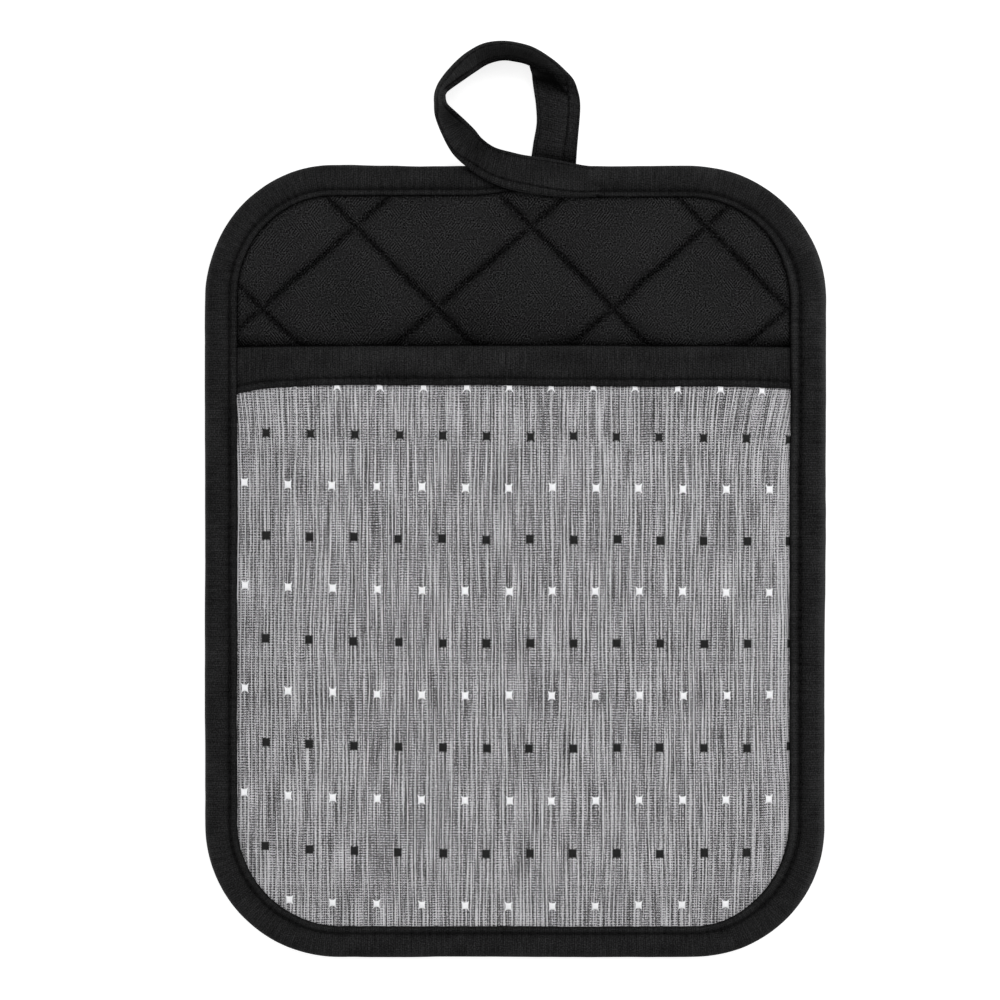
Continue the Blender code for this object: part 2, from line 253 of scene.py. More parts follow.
def wander(x, y):
    """How far sewing strays sideways from its straight line, along x and along y."""
    dx = 0.35 * MM * bumps(x, y, 11, 11, 3) + 0.16 * MM * bumps(x, y, 3, 3, 4)
    dy = 0.35 * MM * bumps(x, y, 11, 11, 5) + 0.16 * MM * bumps(x, y, 3, 3, 6)
    inside = rise(x, y)
    return dx * inside, dy * inside


def pad_envelope(x, y):
    under_pocket = smooth((MOUTH_Y + MOUTH_STEP - y) / MOUTH_STEP)
    edge = PAD_EDGE_HIGH + under_pocket * (PAD_EDGE_UNDER_POCKET - PAD_EDGE_HIGH)
    return edge + (PAD_CROWN - edge) * rise(x, y)


def pad_top(x, y):
    envelope = pad_envelope(x, y)
    reach = smooth((edge_distance(x, y) - EDGE_FLAT + SEAM_FADE / 4) / SEAM_FADE)
    pull = SEAM_PULL * reach * (1 - puff(x, y))
    tight = CREASE_DEPTH * ramp(edge_distance(x, y), 8, 3) * crease(x, y)
    wrinkle = 0.10 * MM * bumps(x, y, 5, 5, 7) + 0.05 * MM * bumps(x, y, 2, 2, 8)
    return envelope - pull * np.maximum(envelope - SEAM_PLANE, 0) - tight + wrinkle * reach


def pad_bottom(x, y):
    raised = np.minimum(1.0, puff(x, y) / PUFF_FLAT)
    quilted = UNDERSIDE_PULL * (1 - raised) + CREASE_DEPTH * crease(x, y)
    return PAD_EDGE_LOW + (quilted - PAD_EDGE_LOW) * rise(x, y)


def panel_bottom(x, y):
    """The underside of the pocket's cloth, open at the mouth."""
    half_width = BODY_WIDTH / 2 - EDGE_FLAT
    bowed = np.maximum(0.0, 1 - (np.abs(x) / half_width) ** GAPE_CURVE)
    foot_y = CENTRE_Y - BODY_LENGTH / 2 + EDGE_FLAT
    along = np.clip((y - foot_y) / (MOUTH_Y - foot_y), 0.0, 1.0)
    opened = np.sin(along * np.pi / 2) ** 2
    lift = POCKET_SLACK * rise(x, y) + MOUTH_GAPE * bowed * opened
    return PANEL_EDGE + (PAD_CROWN + GAP - PANEL_EDGE) * rise(x, y) + lift


def panel_top(x, y):
    """The pocket's face, with the shallow waves of a loosely woven cloth."""
    inside = ramp(edge_distance(x, y), 8, 8)
    waves = 0.10 * MM * bumps(x, y, 7, 26, 11) + 0.05 * MM * bumps(x, y, 2.6, 12, 12)
    return panel_bottom(x, y) + PANEL_THICKNESS + waves * inside


# ---------------------------------------------------------------- mesh helpers

class Batch:
    """Points and faces of many small shapes, gathered into one mesh."""

    def __init__(self):
        self.points, self.faces, self.count = [], [], 0

    def add(self, points, faces):
        self.points.append(np.asarray(points, float).reshape(-1, 3))
        self.faces += [[index + self.count for index in face] for face in faces]
        self.count += len(self.points[-1])

    def build(self, name, material):
        mesh = bpy.data.meshes.new(name)
        mesh.from_pydata(np.concatenate(self.points).tolist(), [], self.faces)
        mesh.materials.append(material)
        mesh.shade_smooth()
        return place(name, mesh)


def add_object(name, data):
    made = bpy.data.objects.new(name, data)
    bpy.context.scene.collection.objects.link(made)
    return made


def place(name, mesh):
    piece = add_object(name, mesh)
    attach(piece, ROOT)
    return piece


def ring_faces(rings, around):
    """Faces of a closed tube of rings, each of the same number of points."""
    faces = []
    for r in range(rings - 1):
        for k in range(around):
            a, b = r * around + k, r * around + (k + 1) % around
            faces.append([a, b, b + around, a + around])
    faces.append(list(range(around))[::-1])
    faces.append([(rings - 1) * around + k for k in range(around)])
    return faces


def length_of(vectors):
    return np.linalg.norm(vectors, axis=-1, keepdims=True)


def unit(vectors):
    return vectors / np.maximum(length_of(vectors), 1e-12)


def tube(path, up, wide, high, sides):
    """A tube of elliptical rings along a path of points."""
    path = np.asarray(path, float)
    forward = unit(np.gradient(path, axis=0))
    side = unit(np.cross(forward, up))
    over = np.cross(side, forward)
    turn = 2 * np.pi * np.arange(sides) / sides
    wide = np.broadcast_to(wide, len(path))[:, None, None]
    high = np.broadcast_to(high, len(path))[:, None, None]
    rings = side[:, None] * wide * np.cos(turn)[:, None] + over[:, None] * high * np.sin(turn)[:, None]
    return path[:, None] + rings, ring_faces(len(path), sides)


STITCH_RINGS = np.linspace(-1, 1, 6)


def add_stitch(batch, middle, forward, up, length, thick, arch):
    """A sewn stitch: a short thread that dips into the cloth at both ends."""
    middle, forward, up = (np.asarray(v, float) for v in (middle, forward, up))
    bend = arch * (1 - STITCH_RINGS**2) - 0.5 * arch
    path = middle + forward * (STITCH_RINGS * length / 2)[:, None] + up * bend[:, None]
    fat = thick / 2 * np.sqrt(1 - 0.75 * STITCH_RINGS**4)
    batch.add(*tube(path, up, fat, fat, 6))


def add_tape_stitch(batch, middle, forward, up, thick=TAPE_STITCH_THICK, arch=TAPE_STITCH_ARCH):
    add_stitch(batch, middle, forward, up, TAPE_STITCH_LENGTH, thick, arch)


def read_at(start, lengths, values):
    """What a row of numbers, or of points, along a path is at one length along it."""
    return np.array([np.interp(start, lengths, column) for column in np.atleast_2d(values.T)])


def mark(piece, name, values):
    """Keep a number or a vector for each point, for the material to read."""
    values = np.asarray(values, np.float32)
    kind = "FLOAT" if values.ndim == 1 else "FLOAT_VECTOR"
    layer = piece.data.attributes.new(name, kind, "POINT")
    layer.data.foreach_set("value" if values.ndim == 1 else "vector", values.ravel())


# ---------------------------------------------------------------- materials

def add_node(tree, kind, values=(), **settings):
    """A new node with its settings, its inputs fed with numbers, colours or other nodes' outputs."""
    made = tree.nodes.new(kind)
    for key, value in settings.items():
        setattr(made, key, value)
    for socket, value in dict(values).items():
        feed(tree, made.inputs[socket], value)
    return made


def feed(tree, socket, value):
    value = getattr(value, "socket", value)
    if isinstance(value, bpy.types.NodeSocket):
        tree.links.new(value, socket)
    else:
        socket.default_value = value


def maths(operation, swapped=False):
    """A method of Shade that works out one operation in a node."""

    def method(self, *others):
        values = (*others, self) if swapped else (self, *others)
        made = add_node(self.tree, "ShaderNodeMath", enumerate(values), operation=operation)
        return Shade(self.tree, made.outputs[0])

    return method


class Shade:
    """A number that a material works out at each point. Arithmetic with it adds nodes."""

    __add__, __radd__ = maths("ADD"), maths("ADD", swapped=True)
    __sub__, __rsub__ = maths("SUBTRACT"), maths("SUBTRACT", swapped=True)
    __mul__, __rmul__ = maths("MULTIPLY"), maths("MULTIPLY", swapped=True)
    __truediv__, __abs__ = maths("DIVIDE"), maths("ABSOLUTE")
    floor, fraction, larger = maths("FLOOR"), maths("FRACT"), maths("MAXIMUM")
    sine, cosine, exponent = maths("SINE"), maths("COSINE"), maths("EXPONENT")

    def __init__(self, tree, socket):
        self.tree, self.socket = tree, socket

    def clamp(self):
        """Hold the number between 0 and 1."""
        self.socket.node.use_clamp = True
        return self

    def threads(self, pitch):
        """The round backs of threads side by side, from 0 to 1."""
        return abs((self / pitch * math.pi).sine())

    def wave(self):
        """From 1 to -1 and back for each whole number."""
        return (self * (2 * math.pi)).cosine()

    def fade(self, reach):
        """1 at no distance, falling away beyond it."""
        return (self.larger(0.0) / reach * -1.0).exponent()


class Cloth:
    """A cloth's material, built from nodes. Its lengths are in millimetres."""

    def __init__(self, name, roughness, specular, sheen):
        self.material = bpy.data.materials.new(name)
        self.material.use_nodes = True
        self.tree = self.material.node_tree
        self.shader = self.tree.nodes["Principled BSDF"]
        self.shader.inputs["Roughness"].default_value = roughness
        self.shader.inputs["Specular IOR Level"].default_value = specular
        self.shader.inputs["Sheen Weight"].default_value = sheen
        self.shader.inputs["Sheen Roughness"].default_value = 0.5

    def add(self, kind, values=(), **settings):
        return add_node(self.tree, kind, values, **settings)

    def parts(self, vector):
        """A vector's x, y and z."""
        made = self.add("ShaderNodeSeparateXYZ", {0: vector})
        return [Shade(self.tree, output) for output in made.outputs[:3]]

    def surface(self):
        """The point's place."""
        spot = self.add("ShaderNodeTexCoord").outputs["Object"]
        scaled = self.add("ShaderNodeVectorMath", {0: spot, "Scale": 1 / MM}, operation="SCALE")
        return self.parts(scaled.outputs[0])

    def marked(self, name):
        """What was marked on the mesh under this name: a vector, or a number in all three parts."""
        return self.parts(self.add("ShaderNodeAttribute", attribute_name=name).outputs["Vector"])

    def noise(self, x, y, size_x, size_y, seed=0.0, detail=1.0):
        """Soft noise around 0.5 over spots of the given size."""
        spot = self.add("ShaderNodeCombineXYZ", {0: x / size_x, 1: y / size_y, 2: seed}).outputs[0]
        made = self.add("ShaderNodeTexNoise", {"Vector": spot, "Scale": 1.0, "Detail": detail})
        return Shade(self.tree, made.outputs["Fac"])

    def random(self, a, b=0.0, seed=0.0):
        """A number from 0 to 1 for each pair of whole numbers."""
        spot = self.add("ShaderNodeCombineXYZ", {0: a, 1: b, 2: seed}).outputs[0]
        made = self.add("ShaderNodeTexWhiteNoise", {"Vector": spot}, noise_dimensions="3D")
        return Shade(self.tree, made.outputs["Value"])

    def paint(self, level, *stops, tint=(1.0, 1.0, 1.02)):
        """Colour the cloth by a level, through greys given as a level and a linear brightness."""
        ramp_node = self.add("ShaderNodeValToRGB", {0: level})
        steps = ramp_node.color_ramp.elements
        while len(steps) < len(stops):
            steps.new(0.5)
        for step, (at, brightness) in zip(steps, stops):
            step.position = at
            step.color = (*(brightness * part for part in tint), 1.0)
        feed(self.tree, self.shader.inputs["Base Color"], ramp_node.outputs["Color"])

    def emboss(self, height, depth):
        bump = self.add("ShaderNodeBump", {"Height": height, "Distance": depth * MM, "Strength": 1.0})
        feed(self.tree, self.shader.inputs["Normal"], bump.outputs["Normal"])


THREAD_MEAN = 0.64  # of the round backs of threads


def black_cotton():
    """The pad's matt cotton, its slant changing in patches, with painted shade in the seams, along the edge
    tape's inner edge and above the pocket's band.
    """
    cloth = Cloth("black_cotton", roughness=0.9, specular=0.04, sheen=0.0)
    x, y, _ = cloth.surface()
    falling, rising = (0.80 * x + 0.60 * y).threads(0.66), (0.78 * x - 0.62 * y).threads(0.70)
    side = ((cloth.noise(x, y, 7, 7, 2) - 0.47) * 9).clamp()
    strength = ((cloth.noise(x, y, 4, 4, 9) - 0.43) * 5).clamp()
    hatch = falling * side + rising * (1 - side)
    warp, weft = x.threads(0.42), y.threads(0.42)
    fine = cloth.noise(x, y, 0.42, 0.42, 5, detail=2)
    patches = 1 + 3 * (cloth.noise(x, y, 3, 3, 14) - 0.5)
    level = 0.51 + 0.85 * (hatch - THREAD_MEAN) * strength + 2.5 * (fine - 0.5) * patches
    level = level + 0.22 * (warp - THREAD_MEAN) + 0.14 * (weft - THREAD_MEAN)
    level = level + 0.3 * (cloth.noise(x, y, 30, 30, 6) - 0.5)
    # Painted shade: in the seams, uneven in strength, and along the edge tape's inner edge. A painted shadow
    # runs along the band's top edge, wider where the pad dips, and fills the pad inside the pocket.
    from_lip, hollow, seam = cloth.marked("shade")
    shade_strength = 1 + 5 * (cloth.noise(x, y, 0.60, 0.60, 13, detail=2) - 0.5)
    under_band = (y - (MOUTH_Y / MM - 0.15)).fade(0.55 + 1.6 * hollow)
    dark = (seam * shade_strength).larger((1.35 * under_band).larger(from_lip.fade(0.40)))
    cloth.paint((level - 0.50 * dark).clamp(), (0.0, 0.0003), (0.5, 0.0125), (1.0, 0.0370))
    cloth.emboss(0.5 * hatch + 0.25 * warp + 0.25 * weft + 0.4 * fine, 0.06)
    return cloth.material


def black_tape():
    """Bias tape of the same black: fine ribs across it, with painted shade where it is stitched or tucked
    and under the loop's edge, and painted highlights along some rims.
    """
    cloth = Cloth("black_tape", roughness=0.85, specular=0.05, sheen=0.0)
    along, across, _ = cloth.marked("tape")
    ribs, rows = along.threads(0.66), across.threads(0.58)
    fine = cloth.noise(along, across, 0.42, 0.42, 1, detail=2)
    level = 0.50 + 0.22 * (ribs - THREAD_MEAN) + 0.11 * (rows - THREAD_MEAN) + 1.5 * (fine - 0.5)
    level = level + 0.35 * (cloth.noise(along, across, 14, 6, 3) - 0.5)
    level = level + 0.5 * (cloth.noise(along, across, 0.8, 6, 4) - 0.5)
    # The marked crease is painted shade where positive and a painted highlight where negative.
    level = (level - 0.5 * cloth.marked("crease")[0]).clamp()
    cloth.paint(level, (0.0, 0.0003), (0.5, 0.0120), (1.0, 0.0350))
    cloth.emboss(0.4 * ribs + 0.3 * rows + 0.4 * fine, 0.05)
    return cloth.material


def black_thread():
    cloth = Cloth("black_thread", roughness=0.8, specular=0.08, sheen=0.0)
    x, y, _ = cloth.surface()
    ply = cloth.noise(x, y, 0.25, 0.25, 2)
    cloth.paint(ply, (0.2, 0.001), (0.8, 0.010))
    cloth.emboss(ply, 0.03)
    return cloth.material


def grey_chambray():
    """An open plain weave: pale and dark warp threads, and a fine weft that shows between them."""
    cloth = Cloth("grey_chambray", roughness=0.85, specular=0.25, sheen=0.05)
    x, y, _ = cloth.surface()
    warp_x, weft_y, light = cloth.marked("weave")
    phase = warp_x / (YARN_PITCH / MM)
    wave = phase.wave()
    gap = 2 * phase + 0.5  # two gaps for each yarn, each a little off its place
    number = gap.floor()
    aside = gap.fraction() - (0.5 + 0.60 * (cloth.random(number, 7.0) - 0.5))
    between_yarns = (1 - 3 * abs(aside)).clamp() * (0.70 - 0.30 * wave)
    row = 0.8 * (cloth.noise(x, y, 9, 5, 3) - 0.5) + 0.3 * (cloth.noise(x, y, 1.3, 2.5, 7) - 0.5) + weft_y
    row = row / WEFT_PITCH
    rung = row.wave()
    row = row.floor()
    slow = cloth.noise(number * 3.7, y, 1.0, 12.0, 6, detail=2)
    depth = (0.60 + 0.4 * (slow - 0.5) + 0.5 * (cloth.random(number) - 0.5)).clamp()
    opened = (0.50 - 1.5 * rung + (cloth.random(number, row, 5.0) - 0.5)).clamp()
    dark = between_yarns * depth * opened
    fibre = cloth.noise(warp_x, y, 0.33, 16.0, 10)
    grain = cloth.noise(x, y, 0.44, 0.44, 11, detail=2)
    level = 0.16 - 6.4 * (dark - 0.074) + 0.06 * wave + 2 * (fibre - 0.5) + 2 * (grain - 0.5)
    level = level + 0.07 * rung + 0.10 * (cloth.random(0.0, row, 2.0) - 0.5)
    # light is painted light along the pocket's borders.
    level = level + 0.04 * (cloth.noise(x, y, 3, 12, 12) - 0.5) + light
    cloth.paint(level, (0.0, 0.022), (0.5, 0.215), (1.0, 0.62), tint=(1.0, 0.985, 1.02))
    cloth.emboss(0.5 * wave + 0.2 * rung + 0.6 * cloth.noise(warp_x, y, 0.50, 9.0, 9), 0.08)
    return cloth.material


def plain_yarn(name, low, high, size_x=1.0, size_y=1.0):
    """A yarn whose brightness wanders between two levels over spots of the given size."""
    cloth = Cloth(name, roughness=0.75, specular=0.3, sheen=0.1)
    x, y, _ = cloth.surface()
    cloth.paint(cloth.noise(x, y, size_x, size_y, 4, detail=2), (0.25, low), (0.75, high))
    cloth.emboss(cloth.noise(x, y, 0.15, 0.15, 1), 0.03)
    return cloth.material


# ---------------------------------------------------------------- the pad

def clipped_grid(x, y, inset):
    """The faces of a grid that reach into the body, its outer points drawn in to the outline."""
    inside = edge_distance(x, y) > inset
    cell = inside[:-1, :-1] | inside[1:, :-1] | inside[:-1, 1:] | inside[1:, 1:]
    number = np.arange(x.size).reshape(x.shape)
    corners = (number[:-1, :-1], number[1:, :-1], number[1:, 1:], number[:-1, 1:])
    faces = np.stack([corner[cell] for corner in corners], axis=1)
    used, faces = np.unique(faces, return_inverse=True)
    faces = faces.reshape(-1, 4)
    x, y = x.ravel()[used], y.ravel()[used]
    move = np.maximum(inset - edge_distance(x, y), 0)
    slope_x, slope_y = edge_slope(x, y)
    x, y = x + move * slope_x, y + move * slope_y
    (xa, xb, xc), (ya, yb, yc) = x[faces[0, :3]], y[faces[0, :3]]
    clockwise = (xb - xa) * (yc - yb) < (xc - xb) * (yb - ya)
    return x, y, faces[:, ::-1] if clockwise else faces


def lip_distance(x, y):
    """How far inside the edge tape's visible inner edge a point lies."""
    inside = edge_distance(x, y)
    inward = np.stack(edge_slope(x, y), axis=1)
    return inside - lip_width(np.stack([x, y], axis=1) - inward * inside[:, None], inward)


def rim_edges(faces):
    """The edges that only one face has, in that face's direction."""
    edges = {(int(a), int(b)) for face in faces for a, b in zip(face, np.roll(face, -1))}
    return [(a, b) for a, b in edges if (b, a) not in edges]


def slab(batch, x, y, top, bottom, faces):
    """A closed sheet between two surfaces over the same faces."""
    count = len(x)
    points = np.concatenate([np.stack([x, y, top], axis=1), np.stack([x, y, bottom], axis=1)])
    sides = [[b, a, a + count, b + count] for a, b in rim_edges(faces)]
    below = (faces[:, ::-1] + count).tolist()
    batch.add(points, faces.tolist() + below + sides)


def seam_lines(spacing):
    """Where a family's lines of points cross, counted from one of its seams."""
    reach = int(math.hypot(BODY_WIDTH, BODY_LENGTH) / spacing) + 2
    half = [spacing / 2 * (k / SEAM_LINES) ** SEAM_LINE_POWER for k in range(SEAM_LINES + 1)]
    period = sorted({*half, *(-h for h in half[1:-1])})
    return np.array([n * spacing + step for n in range(-reach, reach + 1) for step in period])


def quilted_pad(material):
    first, second = SEAM_ANGLES
    lines = [seam_lines(QUILT_PITCH * abs(math.sin(angle))) for angle in SEAM_ANGLES]
    a, b = np.meshgrid(*lines, indexing="ij")
    turn = math.sin(second - first)
    x = SEAM_CROSSING[0] + (b * math.cos(first) - a * math.cos(second)) / turn
    y = SEAM_CROSSING[1] + (b * math.sin(first) - a * math.sin(second)) / turn
    x, y, faces = clipped_grid(x, y, BOUND_INSET)
    stray_x, stray_y = wander(x, y)
    batch = Batch()
    slab(batch, x + stray_x, y + stray_y, pad_top(x, y), np.maximum(pad_bottom(x, y), 0), faces)
    pad = batch.build("pad_quilting", material)
    # The pad's marked shade: how far in from the tape's lip, how low the pad lies, and the seams' painted
    # shade.
    dark = seam_shade(x, y) * ramp(edge_distance(x, y), 7, 3)
    mark(pad, "shade", np.tile(np.stack([lip_distance(x, y) / MM, 1 - puff(x, y), dark], axis=1), (2, 1)))
    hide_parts("quilted_pad")
    return pad


def seam_stitches(material):
    """The quilting's stitches, on the face where it shows and all over the back."""
    batch = Batch()
    for angle in SEAM_ANGLES:
        spacing = QUILT_PITCH * abs(math.sin(angle))
        forward = np.array([math.cos(angle), math.sin(angle)])
        across = np.array([math.sin(angle), -math.cos(angle)])
        seams = int(math.hypot(BODY_WIDTH, BODY_LENGTH) / spacing) + 1
        steps = int(2 * BODY_LENGTH / SEAM_STITCH)
        for seam in range(-seams, seams + 1):
            for step in range(-steps, steps):
                spot = np.array(SEAM_CROSSING) + across * seam * spacing
                spot = spot + forward * (step + 0.5) * SEAM_STITCH
                if edge_distance(*spot) >= SEAM_STITCH_INSET:
                    add_seam_stitch(batch, spot, forward)
    return batch.build("seam_stitches", material)


def add_seam_stitch(batch, spot, forward):
    """One stitch of the quilting on the back, and on the face too where it shows."""
    sides = [(pad_bottom, -1.0)]
    if spot[1] > MOUTH_Y - SEEN_IN_POCKET:
        sides.append((pad_top, 1.0))
    stray = np.array(wander(*spot))
    reach = 0.5 * MM
    for surface, up in sides:
        ahead, behind = (float(surface(*(spot + forward * reach * s))) for s in (1, -1))
        slope = (ahead - behind) / (2 * reach)
        skew = 0.22 * float(bumps(spot[0], spot[1], 1.1, 1.1, 9))
        direction = unit(np.array([forward[0] - skew * forward[1], forward[1] + skew * forward[0], slope]))
        middle = np.array([*(spot + stray), float(surface(*spot)) + up * 0.02 * MM])
        length = SEAM_STITCH * (0.7 + 0.5 * skew)
        add_stitch(batch, middle, direction, (0, 0, up), length, SEAM_STITCH_THICK, SEAM_STITCH_ARCH)


# ---------------------------------------------------------------- the pocket

def pocket_panel(material):
    foot_y = CENTRE_Y - BODY_LENGTH / 2
    edge_y = MOUTH_Y - BAND_WALL - GAP
    columns = np.arange(-BODY_WIDTH / 2, BODY_WIDTH / 2 + PANEL_PITCH, PANEL_PITCH)
    rows = np.linspace(foot_y, edge_y, int((edge_y - foot_y) / PANEL_PITCH) + 1)
    x, y = np.meshgrid(columns, rows, indexing="ij")
    x, y, faces = clipped_grid(x, y, BOUND_INSET)
    batch = Batch()
    slab(batch, x, y, panel_top(x, y), panel_bottom(x, y), faces)
    panel = batch.build("pocket_cloth", material)
    # The weave's third part is painted light along the pocket's borders.
    weave = np.stack([warp_place(x, y) / MM, y / MM, panel_light(x, y)], axis=1)
    mark(panel, "weave", np.tile(weave, (2, 1)))
    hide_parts("pocket_panel")
    return panel


YARN_PITCH = 1.14 * MM  # between the cloth's thick bright yarns
WEFT_PITCH = 0.72  # millimetres
YARN_STEP = 1.3 * MM
YARN_INSET = 7.2 * MM  # the yarns end under the edge tape
YARN_TOP = 9.5 * MM  # and under the band, this far below the mouth
# How the warp threads wander: how far, over how many threads' width and length, in millimetres.
WARP_WANDER = ((0.6, 13, 45, 21), (0.20, 9, 18, 22), (0.30, 2.7, 80, 27), (0.06, 2.0, 6, 28))


def panel_light(x, y):
    """How much painted light brightens the cloth where it bends at its borders."""
    right = 0.055 * ramp(x, 68, 5) + 0.17 * ramp(x, 74, 4)
    left = ramp(-x, 58, 8) * ramp(y, 5, 15)
    head = ramp(y, 18, 10) * ramp(-x, 5, 30)
    foot = ramp(-y, 96, 12)
    return right + 0.03 * left + 0.045 * head + 0.045 * foot


def warp_drift(warp, y):
    """How far a warp thread strays sideways, with its neighbours."""
    leaning = 1.3 * MM * ramp(warp, 66, 12) * ripple(0.5, y / (30 * MM), 29)
    sides = 3.4 * ramp(warp, 36, 36) - 1.6 * ramp(-warp, 56, 22)
    leaning = leaning + sides * MM * np.clip((y - 5 * MM) / (27 * MM), 0, 1) ** 2
    return leaning + sum(size * MM * bumps(warp, y, *cell) for size, *cell in WARP_WANDER)


def warp_place(x, y):
    """Where the warp thread that passes a point would run if it didn't stray."""
    warp = x
    for _ in range(10):
        warp = x - warp_drift(warp, y)
    return warp


def slub_yarns(material):
    """The thick bright yarns that run up the pocket's face, thick and thin and now and then under."""
    batch = Batch()
    foot_y = CENTRE_Y - BODY_LENGTH / 2
    y = np.arange(foot_y + 7.5 * MM, MOUTH_Y - YARN_TOP, YARN_STEP)
    count = int(BODY_WIDTH / YARN_PITCH)
    for index in range(-count // 2, count // 2 + 1):
        start = index * YARN_PITCH
        x = start + warp_drift(start, y) + 0.09 * MM * ripple(index * 3.3, y / (8 * MM), 23)
        thick = 0.5 + 0.24 * ripple(index * 2.9, y / (11 * MM), 26) + 0.16 * ripple(index * 1.7, 0.3, 25)
        half = (0.075 + 0.065 * thick) * MM
        lift = (-0.19 + 0.33 * thick) * MM
        held = edge_distance(x, y) > YARN_INSET
        if held.sum() < 8:
            continue
        path = np.stack([x, y, panel_top(x, y) + lift], axis=1)[held]
        batch.add(*tube(path, (0, 0, 1), half[held], half[held] * 0.55, 4))
    return batch.build("slub_yarns", material)


DOT_PITCH = 12.60 * MM  # along a row
DOT_ROW_START = 32.45 * MM  # the first row, half under the band; the colours take turns
DOT_ROW_PITCH = 14.61 * MM
DOT_ROW_STRETCH = 0.037 * MM  # how much further each row is from the one above
DOT_ROWS = 11
DOT_COLUMNS = 13
DOT_INSET = 8.0 * MM  # dots nearer to the edge are under its tape
DOT_FLOATS = 7
WHITE_START_X = -78.0 * MM  # the first dot of a row, for either colour
BLACK_START_X = -71.9 * MM
ROW_END = 75 * MM
LEFT_RISE = (1.07 * MM, 1.3 * MM)  # how far the rows' left ends rise, at the top and further down
RIGHT_RISE = (-0.92 * MM, 1.67 * MM)


def dot_places(first_x, first_row):
    """The dots of one colour, in every second row. The rows bend as the cloth was cut."""
    for row in range(first_row, DOT_ROWS, 2):
        for column in range(DOT_COLUMNS):
            x = first_x + DOT_PITCH * column
            start, growth = LEFT_RISE if x < 0 else RIGHT_RISE
            y = DOT_ROW_START - DOT_ROW_PITCH * row - DOT_ROW_STRETCH * row**2
            y += (start + growth * row / DOT_ROWS) * (x / ROW_END) ** 2
            x += 0.75 * MM * bell(x + 19 * MM, 42 * MM)
            x -= 0.03 * math.exp(-1.6 * row) * (x + 1.7 * MM)
            y -= 0.6 * MM * (row == 0)
            x += 0.30 * MM * float(ripple(column * 2.3, row * 3.1, 31))
            y += 0.22 * MM * float(ripple(column * 1.9, row * 2.7, 32))
            if edge_distance(x, y) > DOT_INSET:
                yield x, y


def woven_dots(name, material, first_x, first_row, half_size, horn):
    """Dots of short threads that float over the cloth. Horns make the outer threads longer and flared."""
    batch = Batch()
    for number, (x, y) in enumerate(dot_places(first_x, first_row)):
        size = half_size * (1 + 0.06 * float(ripple(number * 1.3, 0.5, 33)))
        flare = horn + 0.26 * float(ramp(y, 5, 10))
        for k in range(DOT_FLOATS):
            side = 2 * k / (DOT_FLOATS - 1) - 1
            ragged = 1 + 0.06 * float(ripple(number * 2.1, k * 1.7, 34))
            half = size * (1.18 + flare * (abs(side) ** 3 - 0.5)) * ragged
            t = np.linspace(-1, 1, 7)
            px = x + size * side * (0.84 + flare * (np.abs(t) ** 3 - 0.4))
            py = y + half * t
            pz = panel_top(px, py) + (0.34 - 0.26 * t**4) * MM
            wide = 0.2 * size * np.sqrt(1 - 0.8 * t**6)
            batch.add(*tube(np.stack([px, py, pz], axis=1), (0, 0, 1), wide, wide * 0.8, 6))
    return batch.build(name, material)


# ---------------------------------------------------------------- tape round the edge

ProfilePoint = namedtuple("ProfilePoint", "inward z")
# One section of the edge tape: inward is a share of its visible width, z is in millimetres.
BINDING_PROFILE = tuple(ProfilePoint(*row) for row in (
    (1.000, 5.30), (1.000, 5.62), (0.990, 5.95), (0.960, 6.20), (0.910, 6.32), (0.860, 6.22), (0.815, 6.00),
    (0.785, 5.76), (0.760, 5.62), (0.735, 5.76), (0.700, 6.02), (0.650, 6.25), (0.580, 6.40), (0.500, 6.50),
    (0.420, 6.52), (0.340, 6.47), (0.260, 6.30), (0.190, 6.02), (0.130, 5.62), (0.080, 5.10), (0.040, 4.50),
    (0.015, 3.80), (0.000, 3.10), (0.010, 2.20), (0.030, 1.40), (0.065, 0.75), (0.120, 0.30), (0.190, 0.06),
    (0.270, 0.00), (0.500, 0.00), (0.690, 0.02), (0.730, 0.20), (0.760, 0.33), (0.790, 0.20), (0.830, 0.02),
    (0.950, 0.02), (0.990, 0.15), (1.000, 0.45), (1.000, 1.20),
))
BINDING_TOP_POINTS = 23  # the profile's points from the lip over to the rim
BINDING_SEAM = 0.76  # where the stitches run in this profile, as a share of the visible width
BINDING_SEAM_TOP = (0.79, 0.82)  # along the top, where they run left and right of the loop
BINDING_SEAM_RIGHT = 0.705
SEAM_DARK = (0.095, 0.060)  # how far the seam's painted shade reaches to its outer and inner side
BINDING_STITCH_TOP = 5.68 * MM  # how high the stitches lie in front, and behind
BINDING_STITCH_BACK = 0.28 * MM
STRAIGHT = 0.9  # a point that belongs more than this to one side counts as outside the corners
BAND_LIFT = 0.8 * MM  # how far the tape rises where the pocket's band is bound in
BAND_MIDDLE_Y = 38.3 * MM


